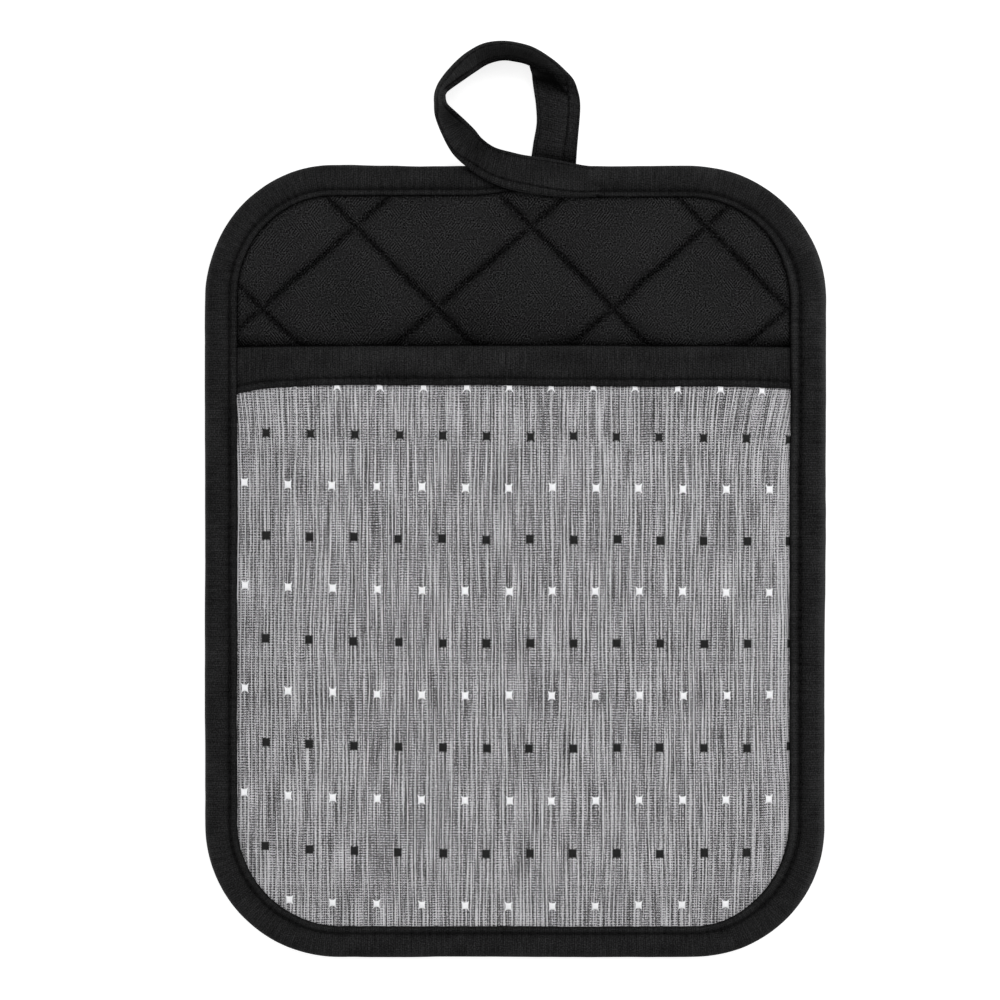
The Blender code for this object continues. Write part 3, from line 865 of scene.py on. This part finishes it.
def outline_path(step):
    """Points, inward directions and lengths round the body, from the tape's start to its end."""
    half_width, half_length = BODY_WIDTH / 2, BODY_LENGTH / 2
    corners = (
        (-1, 1, RADIUS_TOP_LEFT, 90),
        (-1, -1, RADIUS_BOTTOM_LEFT, 180),
        (1, -1, RADIUS_BOTTOM_RIGHT, 270),
        (1, 1, RADIUS_TOP_RIGHT, 0),
    )
    points, inward = [], []

    def straight(start, end, direction):
        steps = max(1, round(math.dist(start, end) / step))
        for k in range(steps):
            points.append([a + (b - a) * k / steps for a, b in zip(start, end)])
            inward.append(direction)

    here = (BINDING_START_X, TOP_Y)
    for side_x, side_y, radius, first in corners:
        middle = (side_x * (half_width - radius), CENTRE_Y + side_y * (half_length - radius))
        steps = round(radius * math.pi / 2 / step)
        turn = [math.radians(first + 90 * k / steps) for k in range(steps + 1)]
        arc = [(middle[0] + radius * math.cos(t), middle[1] + radius * math.sin(t)) for t in turn]
        straight(here, arc[0], (-math.cos(turn[0]), -math.sin(turn[0])))
        points.extend(arc[:-1])
        inward.extend((-math.cos(t), -math.sin(t)) for t in turn[:-1])
        here = arc[-1]
    straight(here, (BINDING_END_X, TOP_Y), (0.0, -1.0))
    points.append((BINDING_END_X, TOP_Y))
    inward.append((0.0, -1.0))
    points, inward = np.array(points), np.array(inward)
    return points, inward, path_lengths(points)


def sides_of(inward):
    """How much each point belongs to the left, right, top and bottom side, from 0 to 1."""
    return [np.maximum(share, 0) for share in (inward[:, 0], -inward[:, 0], -inward[:, 1], inward[:, 1])]


def lip_width(points, inward):
    """The tape's visible width, which differs from side to side and wavers."""
    x, y = points[:, 0], points[:, 1]
    _, right, head, foot = sides_of(inward)
    side = np.where(inward[:, 0] > 0, LIP_LEFT, LIP_RIGHT)
    width = side * inward[:, 0] ** 2 + LIP_ENDS * inward[:, 1] ** 2
    width = width + 0.4 * MM * head**2 * ramp(x, 12, 10)
    drawn = 1.3 * MM * ramp(x, -12, 14) * (head > STRAIGHT) * (x < 8 * MM)
    corner = foot * np.abs(inward[:, 0]) * 2
    width = width + corner * np.where(inward[:, 0] < 0, 0.8, 0.4) * MM
    width = width - 0.3 * MM * right * ramp(y, 6, 14)
    return width - drawn + 0.12 * MM * bumps(x, y, 16, 16, 41) + 0.08 * MM * bumps(x, y, 1.4, 1.4, 46)


def seam_share(points, inward):
    """Where the stitches run, as a share of the tape's visible width."""
    _, right, head, _ = sides_of(inward)
    before, after = BINDING_SEAM_TOP
    top = before + (after - before) * ramp(points[:, 0], -10, 20) - BINDING_SEAM
    return BINDING_SEAM + top * head**2 + (BINDING_SEAM_RIGHT - BINDING_SEAM) * right**2


def rim_swell(points, inward):
    """How far the filled edge swells out past its sewn outline."""
    x, y = points[:, 0], points[:, 1]
    left, right, head, foot = (side**2 for side in sides_of(inward))
    top = 0.30 * ramp(-x, 38, 10) + 0.25 * ramp(x, 56, 10)
    top = top - 0.10 * bell(x + 24 * MM, 8 * MM) + 0.12 * ramp(-x, 28, 8)
    high = ramp(y, 52, 20)
    sides = left * (0.10 - 0.34 * high) + right * (0.45 * ramp(y, -50, 50) + 0.30 * high)
    return (0.36 * foot + head * top + sides) * MM


def band_lift(points, inward, w):
    """How far the tape rises over the band's ends, at places across it."""
    beside = np.abs(inward[:, 0]) > STRAIGHT
    lift = BAND_LIFT * ramp(-np.abs(points[:, 1] - BAND_MIDDLE_Y), -9.5, 4) * beside
    return lift[:, None] * smooth((w - 0.35) / 0.35)


def edge_binding(material):
    points, inward, lengths = outline_path(BINDING_STEP)
    width = lip_width(points, inward)
    share = np.array([p.inward for p in BINDING_PROFILE])
    level = np.array([p.z for p in BINDING_PROFILE]) * MM
    over = np.arange(len(share)) < BINDING_TOP_POINTS
    s, w = np.meshgrid(lengths, share, indexing="ij")
    seam = bell(w - BINDING_SEAM, 0.030)
    z = np.broadcast_to(level, s.shape).copy()
    z -= np.where(over, 1, -0.5) * 0.26 * MM * seam * holes(s, TAPE_STITCH)
    face = smooth((w - 0.06) / 0.10) * smooth((0.985 - w) / 0.05) * over
    corner = (np.abs(inward[:, 0] * inward[:, 1]) * 2)[:, None]
    z += face * 0.07 * MM * ripple(s / (9 * MM), w * 4, 42)
    z += face * (0.05 + 0.10 * corner) * MM * ripple(s / (2.4 * MM), w * 2.5, 43) * smooth((w - 0.2) / 0.4)
    z += band_lift(points, inward, w) * over
    sewn = seam_share(points, inward)[:, None]
    outer_part, inner_part = w * sewn / BINDING_SEAM, 1 - (1 - w) * (1 - sewn) / (1 - BINDING_SEAM)
    reach = np.where(w < BINDING_SEAM, outer_part, inner_part) * width[:, None]
    reach = reach - rim_swell(points, inward)[:, None] * smooth(1 - w / 0.7)
    rim = smooth((0.10 - w) / 0.10)
    reach = reach + rim * (0.14 * MM * waver(s, 19, 44) + 0.05 * MM * waver(s, 4, 45))
    walls = np.full((len(s), 1), TAPE)
    reach = np.concatenate([reach, walls, walls], axis=1)
    z = np.concatenate([z, walls, np.full_like(walls, LIP_LOW)], axis=1)
    outer = points[:, None, :] + reach[..., None] * inward[:, None, :]
    batch = Batch()
    batch.add(np.concatenate([outer, z[..., None]], axis=2), ring_faces(len(s), z.shape[1]))
    binding = batch.build("binding_tape", material)
    mark_tape(binding, lengths[:, None], girth(reach, z))
    # Painted shade along the seam, deeper at the needle holes, in the tucked inner edge, along the bottom
    # rim and as the loop's shadow. Painted highlights run along the right, left and top rims. All of it goes
    # into the crease attribute.
    away = w - BINDING_SEAM
    dark = np.exp(-np.abs(away) / np.where(away < 0, *SEAM_DARK))
    left, right, head, foot = (side[:, None] ** 4 for side in sides_of(inward))
    tucked = np.exp(-((1 - w) / (0.015 + 0.020 * right)))
    lit = right * (0.8 * smooth((0.28 - w) / 0.24) + 0.30 * smooth((w - 0.80) / 0.06))
    lit = lit + left * 0.4 * smooth((0.16 - w) / 0.14) + head * 0.2 * smooth((0.10 - w) / 0.08)
    shade_strength = 0.36 + 0.29 * right + 0.36 * holes(s, TAPE_STITCH) * thread_pull(s, 47)
    shade = np.maximum(dark * shade_strength, tucked) - lit * (1 - tucked) + foot * 0.45 * smooth((0.05 - w) / 0.03)
    under_loop = np.exp(-loop_edge_distance(outer[:, : len(share)]) / (0.6 * MM))
    mark(binding, "crease", np.pad(over * (shade + under_loop), ((0, 0), (0, 2))).ravel())
    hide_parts("edge_binding")
    return binding


def girth(reach, z):
    """The way round each section of a tape from its first point."""
    rounds = np.hypot(np.diff(reach, axis=1), np.diff(z, axis=1))
    return np.pad(np.cumsum(rounds, axis=1), ((0, 0), (1, 0)))


def mark_tape(piece, along, across):
    """Places along and across a tape in millimetres, for its weave."""
    places = np.stack(np.broadcast_arrays(along, across, 0.0), axis=-1) / MM
    mark(piece, "tape", places.reshape(-1, 3))


def binding_stitches(material):
    points, inward, lengths = outline_path(BINDING_STEP)
    width = lip_width(points, inward)
    lift = band_lift(points, inward, BINDING_SEAM)[:, 0]
    batch = Batch()
    sewn = width * seam_share(points, inward)
    for start in np.arange(TAPE_STITCH / 2, lengths[-1], TAPE_STITCH):
        direction, spot, deep, risen = (read_at(start, lengths, v) for v in (inward, points, sewn, lift))
        spot = spot + direction * deep
        forward = (direction[1], -direction[0], 0.0)
        for z, up in ((BINDING_STITCH_TOP + risen[0], 1), (BINDING_STITCH_BACK, -1)):
            add_tape_stitch(batch, (*spot, z), forward, (0, 0, up))
    return batch.build("binding_stitches", material)


# ---------------------------------------------------------------- band on the pocket's edge

BandPoint = namedtuple("BandPoint", "down level")
# One section of the band: down from its fold, and level above the cloth's underside.
BAND_PROFILE = tuple(BandPoint(*row) for row in (
    (11.70, 1.15), (11.75, 1.55), (11.66, 1.90), (11.40, 2.16), (10.95, 2.30), (10.45, 2.26), (10.05, 2.08),
    (9.80, 1.88), (9.62, 1.78), (9.44, 1.88), (9.15, 2.10), (8.60, 2.30), (7.70, 2.44), (6.40, 2.52),
    (5.00, 2.56), (3.70, 2.55), (2.60, 2.48), (1.70, 2.34), (0.95, 2.08), (0.40, 1.66), (0.08, 1.10),
    (0.00, 0.50), (0.08, -0.10), (0.40, -0.62), (1.00, -0.95), (2.00, -1.08), (6.00, -1.10), (10.60, -1.10),
    (11.00, -0.90), (11.00, -0.30), (0.80, -0.30), (0.80, 1.15),
))
BAND_TOP_POINTS = 20
BAND_SEAM = 9.62 * MM
BAND_STEP = 0.45 * MM
BAND_TUCK = 1.6 * MM  # how far the band's ends reach under the edge tape
BAND_FOLD_DROP = 0.30 * MM  # how far its fold lies below the mouth's line
BAND_DIP = (1.9 * MM, 0.8 * MM)  # how far its lower edge drops at the left and right ends
BAND_DIP_LENGTH = 15 * MM


def band_places():
    half = BODY_WIDTH / 2
    left, right = -half + LIP_LEFT - BAND_TUCK, half - LIP_RIGHT + BAND_TUCK
    return np.linspace(left, right, round((right - left) / BAND_STEP) + 1)


def band_drop(x):
    """How much further down the band's lower edge lies, near its ends."""
    half = BODY_WIDTH / 2
    left = BAND_DIP[0] * np.clip(1 - (x + half - LIP_LEFT) / BAND_DIP_LENGTH, 0, 1) ** 2
    right = BAND_DIP[1] * np.clip(1 - (half - LIP_RIGHT - x) / BAND_DIP_LENGTH, 0, 1) ** 2
    uneven = 0.10 * MM * waver(x, 9, 51) + 0.14 * MM * waver(x, 0.9, 55)
    level = 0.36 * ramp(x, -12, 24) - 0.34 * ramp(x, 72, 5)
    return left + right + uneven + (level + 0.42 * ramp(-x, 57, 6)) * MM


def band_point(x, down, level):
    """A point of the band, its lower part stretched down near the ends and its ends pressed flat."""
    half = BODY_WIDTH / 2
    stretched = down + band_drop(x) * smooth(down / (11 * MM)) + BAND_FOLD_DROP * smooth(1 - down / (5 * MM))
    y = MOUTH_Y - stretched + 0.10 * MM * waver(x, 14, 52)
    inner = np.minimum(x + half - LIP_LEFT, half - LIP_RIGHT - x)
    pressed = 1 - 0.5 * smooth(1 - inner / (4 * MM))
    raised = np.where(level > 1.15 * MM, 1.15 * MM + (level - 1.15 * MM) * pressed, level)
    return y, panel_bottom(x, y) + raised


def pocket_band(material):
    places = band_places()
    down = np.array([p.down for p in BAND_PROFILE]) * MM
    level = np.array([p.level for p in BAND_PROFILE]) * MM
    over = np.arange(len(down)) < BAND_TOP_POINTS
    x, d = np.meshgrid(places, down, indexing="ij")
    seam = bell(d - BAND_SEAM, 0.30 * MM) * over
    hem = ramp(d, 7.5, 3) * over
    height = level - 0.24 * MM * seam * holes(x, TAPE_STITCH)
    height = height + over * 0.07 * MM * bumps(x, d, 8, 5, 53) * smooth(d / (2 * MM))
    height = height + hem * 0.08 * MM * bumps(x, d, 2.3, 2, 54)
    y, z = band_point(x, d, height)
    batch = Batch()
    batch.add(np.stack([x, y, z], axis=2), ring_faces(*x.shape))
    band = batch.build("pocket_edge_band", material)
    mark_tape(band, places[:, None], girth(MOUTH_Y - y, z))
    # Painted shade along the seam, deeper at the needle holes, and at the band's top fold. The band is also
    # a little darker below its seam.
    near = np.abs(d - BAND_SEAM)
    shade_strength = 0.31 + 0.35 * holes(x, TAPE_STITCH) * thread_pull(x, 56)
    dark = np.exp(-near / np.where(d < BAND_SEAM, 0.75 * MM, 0.5 * MM)) * shade_strength * over
    tucked = 1.5 * ramp(-d, -0.45, 0.40) + 0.16 * smooth((d - BAND_SEAM) / MM)
    mark(band, "crease", np.maximum(dark, tucked).ravel())
    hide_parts("pocket_band")
    return band


def band_stitches(material):
    batch = Batch()
    places = band_places()
    for x in np.arange(places[0] + TAPE_STITCH / 2, places[-1], TAPE_STITCH):
        x = TAPE_STITCH * (math.floor(x / TAPE_STITCH) + 0.5)
        y, z = band_point(x, BAND_SEAM, 1.80 * MM)
        add_tape_stitch(batch, (x, float(y), float(z)), (1, 0, 0), (0, 0, 1))
    return batch.build("band_stitches", material)


# ---------------------------------------------------------------- hanging loop

LoopSection = namedtuple(
    "LoopSection", "fold_x fold_y fold_z edge_x edge_y edge_z bow fold_dark edge_dark seam"
)
# The loop's tape, from the front of the pad round to its back. A row gives the tape's folded edge
# and its stitched edge, in millimetres from the middle of the body's top edge, its crown, its painted
# shade at both edges (a painted highlight where negative), and where the stitches run as a share of
# its width from the stitched edge.
LOOP_SECTIONS = tuple(LoopSection(*row) for row in (
    (24.5, -0.5, 4.1, 24.5, -9.0, 5.5, 0.8, 0, 0, 0.19),
    (20.4, -0.1, 4.8, 20.4, -9.2, 5.8, 0.8, 0, 0, 0.19),
    (16.7, 0.6, 5.6, 16.7, -9.3, 5.9, 0.6, 0, 0, 0.19),
    (9.8, 2.0, 6.6, 9.8, -8.8, 6.5, 0.3, 0, 0, 0.21),
    (3.2, 2.9, 7.8, 2.6, -7.8, 7.5, 0.4, 0, 0, 0.24),
    (-0.9, 3.8, 8.5, -2.6, -6.6, 7.6, 0.6, 0.1, -0.1, 0.24),
    (-5.8, 5.2, 9.4, -8.1, -4.3, 7.5, 0.8, 0.25, -0.1, 0.24),
    (-9.3, 7.6, 9.9, -13.0, -1.1, 6.8, 0.9, 0.45, -0.15, 0.24),
    (-11.6, 10.3, 10.0, -17.7, 3.2, 4.0, 1.0, 0.15, -0.3, 0.12),
    (-14.1, 12.7, 10.1, -20.7, 8.7, 1.8, 1.0, 0.3, -0.35, 0.14),
    (-17.1, 15.3, 10.7, -22.7, 14.0, 0.9, 0.8, 0.45, -0.35, 0.2),
    (-19.6, 17.6, 11.2, -23.0, 18.0, 0.8, 0.7, 0, -0.2, 0.5),
    (-20.2, 19.8, 11.4, -22.9, 20.4, 0.7, 0.7, -0.2, -0.1, 0.6),
    (-19.9, 21.0, 11.4, -22.3, 22.3, 0.7, 0.7, -0.2, -0.1, 0.6),
    (-18.7, 22.1, 11.3, -20.8, 24.9, 0.7, 0.8, 0, 0.1, 0.52),
    (-14.8, 24.8, 10.9, -17.5, 29.1, 0.7, 0.9, 0.1, 0.1, 0.4),
    (-11.4, 27.1, 10.6, -13.4, 32.6, 0.7, 1.0, 0.2, 0.15, 0.32),
    (-7.8, 29.3, 10.6, -8.6, 35.0, 0.7, 1.0, 0.9, 0.3, 0.3),
    (-3.5, 30.4, 10.8, -2.9, 35.6, 0.7, 1.0, 1.1, 0.45, 0.31),
    (0.8, 29.9, 10.7, 2.6, 34.6, 0.7, 1.0, 1.3, 0.3, 0.31),
    (2.9, 29.4, 10.6, 7.0, 32.7, 0.8, 1.2, 1.4, 0, 0.3),
    (4.0, 28.9, 10.5, 11.5, 29.6, 1.0, 1.6, 1.3, 0.3, 0.24),
    (4.2, 28.5, 10.1, 14.7, 26.8, 1.2, 1.9, 1.1, 0, 0.2),
    (4.4, 27.8, 8.2, 16.9, 24.4, 1.2, 1.2, 1.3, 0, 0.2),
    (4.8, 26.5, 4.9, 17.9, 22.2, 1.1, -0.6, 0.9, 0.1, 0.22),
    (5.0, 24.6, 2.8, 18.5, 20.0, 1.0, -0.8, 0.3, 0.1, 0.24),
    (5.4, 21.6, 1.5, 18.8, 17.6, 0.8, -0.2, -0.05, 0, 0.25),
    (6.0, 17.4, 0.8, 18.7, 14.2, 0.7, 0.1, -0.05, 0, 0.26),
    (6.2, 12.0, 0.6, 18.2, 8.5, 0.6, 0.0, -0.05, 0, 0.27),
    (5.2, 6.0, 0.6, 17.8, 3.6, 0.6, 0.0, 0, 0, 0.29),
    (4.3, -1.5, 0.6, 17.5, -2.0, 0.6, 0.0, 0, 0, 0.29),
    (4.3, -8.8, 0.6, 17.5, -8.8, 0.6, 0.0, 0, 0, 0.29),
))
LOOP_FRONT_ROWS = 11  # the sections from its sewn end, over the edge tape and a little past it
LOOP_STEPS = 10
LOOP_WIDTH = 12 * MM
LOOP_THICKNESS = 1.1 * MM
LOOP_STITCH_SUNK = 0.27 * MM  # how far its stitches lie below its faces
LOOP_STITCH_LOWEST = 0.1 * MM  # nearer to the ground they are left out
LOOP_FOLD_LINE = 0.91  # where the tape's turned layer ends, by its folded edge


def between(a, b, c, d, t):
    """The Catmull-Rom curve from b to c, with a before and d after."""
    return 0.5 * (2 * b + (c - a) * t + (2 * a - 5 * b + 4 * c - d) * t**2 + (3 * b - a - 3 * c + d) * t**3)


def loop_sections():
    """The loop's sections at close steps along it, one column of numbers for each value."""
    rows = np.array(LOOP_SECTIONS)
    made = []
    for index in range(len(rows) - 1):
        near = [rows[min(max(index + step, 0), len(rows) - 1)] for step in (-1, 0, 1, 2)]
        made += [between(*near, step / LOOP_STEPS) for step in range(LOOP_STEPS)]
    return LoopSection(*np.array([*made, rows[-1]]).T[..., None])


def as_seen(points):
    """Move points in along the camera's rays, so that they show where they would at the edge's level."""
    shrink = (CAMERA_HEIGHT + EDGE_LEVEL - points[..., 2:]) / CAMERA_HEIGHT
    moved = EYE_XY + (points[..., :2] - EYE_XY) * shrink
    return np.concatenate([moved, points[..., 2:]], axis=-1)


def loop_edge_distance(points):
    """How far points lie from the stitched edge of the loop's tape, along its front sections."""
    rows = np.array(LOOP_SECTIONS[:LOOP_FRONT_ROWS])[:, 3:6] * MM + np.array([0, TOP_Y, 0])
    line = as_seen(rows)[:, :2]
    flat = points[..., :2]
    nearest = np.full(flat.shape[:-1], np.inf)
    for a, b in zip(line[:-1], line[1:]):
        along = np.clip(((flat - a) @ (b - a)) / ((b - a) @ (b - a)), 0, 1)
        nearest = np.minimum(nearest, np.linalg.norm(flat - a - along[..., None] * (b - a), axis=-1))
    return nearest


def loop_surface(across):
    """The middle of the loop's tape at places across it, its upward direction and its length."""
    sections = loop_sections()
    fold, edge = np.stack(sections[:3], axis=-1), np.stack(sections[3:6], axis=-1)
    across = np.asarray(across)[..., None]
    span = fold - edge
    level = length_of(span[..., :2]) / length_of(span)
    crown = sections.bow[..., None] * 4 * across * (1 - across)
    away = -span[..., :2] / length_of(span[..., :2]) * crown * (1 - level)
    middle = edge + span * across + np.concatenate([away, crown * level], axis=-1)
    middle = as_seen(middle * MM + np.array([0, TOP_Y, 0]))
    along = np.gradient(middle, axis=0)
    sideways = np.gradient(middle, axis=1)
    up = unit(np.cross(along, sideways))
    up = up * np.sign(np.mean(up[..., 2], axis=1))[:, None, None]
    return middle, up, path_lengths(middle.mean(axis=1))


ValleyPoint = namedtuple("ValleyPoint", "x y reach")
# The fold over which the loop's top hangs, and how far its deep shade reaches down the leg.
VALLEY = (
    ValleyPoint(3.4, 30.2, 2.0),
    ValleyPoint(7.2, 28.4, 3.0),
    ValleyPoint(10.4, 26.6, 3.4),
    ValleyPoint(13.0, 24.1, 2.6),
    ValleyPoint(15.0, 21.5, 1.6),
    ValleyPoint(16.0, 19.9, 0.7),
)
LEG_TOP_Z = 2.0 * MM
LEG_TUCK_Y = 2.6  # where the leg goes under the front tape


def valley_shade(middle):
    """The deep shade under the loop's top fold, and where its leg goes under the front tape."""
    x, y = middle[..., 0] / MM, (middle[..., 1] - TOP_Y) / MM
    deepest = 0.0
    for a, b in zip(VALLEY[:-1], VALLEY[1:]):
        length = math.hypot(b.x - a.x, b.y - a.y)
        along = ((x - a.x) * (b.x - a.x) + (y - a.y) * (b.y - a.y)) / length
        below = ((x - a.x) * (b.y - a.y) - (y - a.y) * (b.x - a.x)) / length
        reach = a.reach + (b.reach - a.reach) * np.clip(along / length, 0, 1)
        beside = np.maximum(np.maximum(-along, along - length), 0)
        fading = (np.maximum(below, 0) / reach) ** 2 + (beside / 0.5) ** 2
        deepest = np.maximum(deepest, smooth((below + 0.25) / 0.4) * np.exp(-fading))
    leg = smooth((LEG_TOP_Z - middle[..., 2]) / MM)
    return deepest + 0.7 * leg * np.exp(-np.maximum(y - LEG_TUCK_Y, 0) / 1.3)


# Where the tape has lines of points, as shares of its width: close together at its seam and folds.
LOOP_ACROSS = (
    0.0, 0.02, 0.045, 0.065, 0.085, 0.10, 0.12, 0.15, 0.17, 0.19, 0.21, 0.225, 0.24, 0.255, 0.275, 0.31,
    0.35, 0.40, 0.45, 0.50, 0.57, 0.64, 0.71, 0.78, 0.84, 0.885, 0.91, 0.935, 0.965, 0.99, 1.0,
)


def loop_half_thickness(across):
    rounded = np.sqrt(np.maximum(1 - np.abs(2 * across - 1) ** 16, 0.0))
    return LOOP_THICKNESS / 2 * (0.25 + 0.75 * rounded)


def hanging_loop(material):
    across = np.array(LOOP_ACROSS)
    middle, up, lengths = loop_surface(across)
    s, a = np.meshgrid(lengths, across, indexing="ij")
    half = loop_half_thickness(a)
    *_, fold_dark, edge_dark, sewn = loop_sections()
    seam, turned = bell(a - sewn, 0.022), bell(a - LOOP_FOLD_LINE, 0.014)
    sunk = (0.16 + 0.14 * holes(s, TAPE_STITCH)) * MM * seam + 0.16 * MM * turned
    inner = smooth(a / 0.06) * smooth((1 - a) / 0.05)
    creased = 0.09 * MM * ripple(s / (2.6 * MM), a * 2.5, 61) + 0.12 * MM * ripple(s / (7 * MM), a * 3, 62)
    creased = inner * creased
    top = middle + up * (half - sunk + creased)[..., None]
    bottom = middle - up * (half - sunk - creased)[..., None]
    low = np.maximum(0.02 * MM - np.minimum(bottom[..., 2], top[..., 2]), 0)
    top[..., 2] += low
    bottom[..., 2] += low
    rings = np.concatenate([top, bottom[:, ::-1]], axis=1)
    batch = Batch()
    batch.add(rings, ring_faces(len(rings), rings.shape[1]))
    loop = batch.build("loop_tape", material)
    mark_tape(loop, np.tile(s, 2), np.concatenate([a, a[:, ::-1] + 1], axis=1) * LOOP_WIDTH)
    # Painted shade along the stitch line, the edge and the folded edge, for each section at its edges, on
    # the steep outer side and under the top fold. Where the sum is negative it is a painted highlight. It
    # goes into the crease attribute.
    shown = np.linalg.norm((middle[:, -1] - middle[:, 0])[:, :2], axis=1)[:, None] / MM
    thin = smooth((7.5 - shown) / 2)
    line = bell((a - sewn) * shown, 0.27) * (0.6 + 0.4 * holes(s, TAPE_STITCH)) * (0.9 + 0.9 * thin)
    hem = bell((a - 0.045) * shown, 0.16) * (0.4 + 0.3 * thin)
    narrow = smooth((4.6 - shown) / 1.5)
    turned = bell((a - LOOP_FOLD_LINE) * shown, 0.18) * (0.5 + 1.3 * thin - 1.8 * narrow)
    turned = turned + 0.5 * (thin - narrow) * np.exp(-(1 - a) * shown / 0.25)
    turned = turned - 0.5 * narrow * smooth((a - 0.5) / 0.1)
    lying = edge_dark + (fold_dark - edge_dark) * a**0.6
    shade_strength = 1 + 0.35 * ripple(s / (1.3 * MM), a * 6, 63)
    outside = 0.45 * thin * smooth((sewn - a) / 0.10) * ramp(-middle[..., 0], 8, 4)
    shade = np.clip((line + hem + turned) * shade_strength + lying + outside + valley_shade(middle), -0.4, 1.1)
    mark(loop, "crease", np.concatenate([shade, shade[:, ::-1]], axis=1).ravel())
    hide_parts("hanging_loop")
    return loop


def loop_stitches(material):
    surface, normals, lengths = loop_surface(loop_sections().seam + np.array([-0.01, 0.0, 0.01]))
    line, over = surface[:, 1], normals[:, 1]
    forward = unit(np.gradient(line, axis=0))
    batch = Batch()
    for start in np.arange(TAPE_STITCH * 1.5, lengths[-1] - TAPE_STITCH, TAPE_STITCH):
        middle, up, ahead = (read_at(start, lengths, v) for v in (line, over, forward))
        for side in (1, -1):
            spot = middle + up * side * (LOOP_THICKNESS / 2 - LOOP_STITCH_SUNK)
            if spot[2] >= LOOP_STITCH_LOWEST:
                add_tape_stitch(batch, spot, ahead, up * side, LOOP_STITCH_THICK, LOOP_STITCH_ARCH)
    return batch.build("loop_stitches", material)


# ---------------------------------------------------------------- studio

WHITE = (1.0, 1.0, 1.0, 1.0)
FLOOR_GREY = (0.5, 0.5, 0.5, 1.0)
FLOOR_GLOW = 0.75  # its own light, which makes the ground of the picture white
FLOOR_REACH = 3.0
FLOOR_Z = -0.2 * MM
SKY_STRENGTH = 0.55


def studio():
    floor_mesh = bpy.data.meshes.new("floor")
    corners = [(x * FLOOR_REACH, y * FLOOR_REACH, FLOOR_Z) for x, y in ((-1, -1), (1, -1), (1, 1), (-1, 1))]
    floor_mesh.from_pydata(corners, [], [(0, 1, 2, 3)])
    floor = add_object("floor", floor_mesh)
    paper = bpy.data.materials.new("floor_paper")
    paper.use_nodes = True
    shader = paper.node_tree.nodes["Principled BSDF"]
    shader.inputs["Base Color"].default_value = FLOOR_GREY
    shader.inputs["Roughness"].default_value = 0.9
    shader.inputs["Emission Color"].default_value = WHITE
    shader.inputs["Emission Strength"].default_value = FLOOR_GLOW
    floor_mesh.materials.append(paper)
    world = bpy.data.worlds.new("studio")
    world.use_nodes = True
    background = world.node_tree.nodes["Background"]
    background.inputs["Color"].default_value = WHITE
    background.inputs["Strength"].default_value = SKY_STRENGTH
    bpy.context.scene.world = world
    bpy.context.scene.view_settings.view_transform = "Standard"
    add_light("key", (0.80, 0.55, 1.1), size=0.9, power=9.5)
    add_light("fill", (-0.8, 0.1, 1.2), size=1.2, power=5.0)


def add_light(name, place_at, size, power):
    light = bpy.data.lights.new(name, "AREA")
    light.size = size
    light.energy = power
    lamp = add_object(name, light)
    lamp.location = place_at
    lamp.rotation_euler = (-lamp.location).to_track_quat("-Z", "Y").to_euler()


def camera():
    lens = bpy.data.cameras.new("camera")
    lens.lens = LENS_MM
    lens.sensor_width = FRAME_PX * PIXEL * LENS_MM / CAMERA_HEIGHT
    lens.clip_end = 20
    eye = add_object("camera", lens)
    eye.location = (*EYE_XY, CAMERA_HEIGHT + EDGE_LEVEL)
    bpy.context.scene.camera = eye


def main():
    camera()
    studio()
    tape, thread = black_tape(), black_thread()
    pad = quilted_pad(black_cotton())
    seam_stitches(thread)
    panel = pocket_panel(grey_chambray())
    yarns = slub_yarns(plain_yarn("pale_slub", low=0.50, high=0.84, size_x=1.2, size_y=5.0))
    white_yarn = plain_yarn("white_cotton", low=0.90, high=1.0)
    black_yarn = plain_yarn("black_float", low=0.002, high=0.009)
    white = woven_dots("white_dots", white_yarn, WHITE_START_X, 0, half_size=0.98 * MM, horn=0.34)
    black = woven_dots("black_dots", black_yarn, BLACK_START_X, 1, half_size=1.07 * MM, horn=0.10)
    band = pocket_band(tape)
    band_stitches(thread)
    binding = edge_binding(tape)
    binding_stitches(thread)
    loop = hanging_loop(tape)
    loop_stitches(thread)


main()
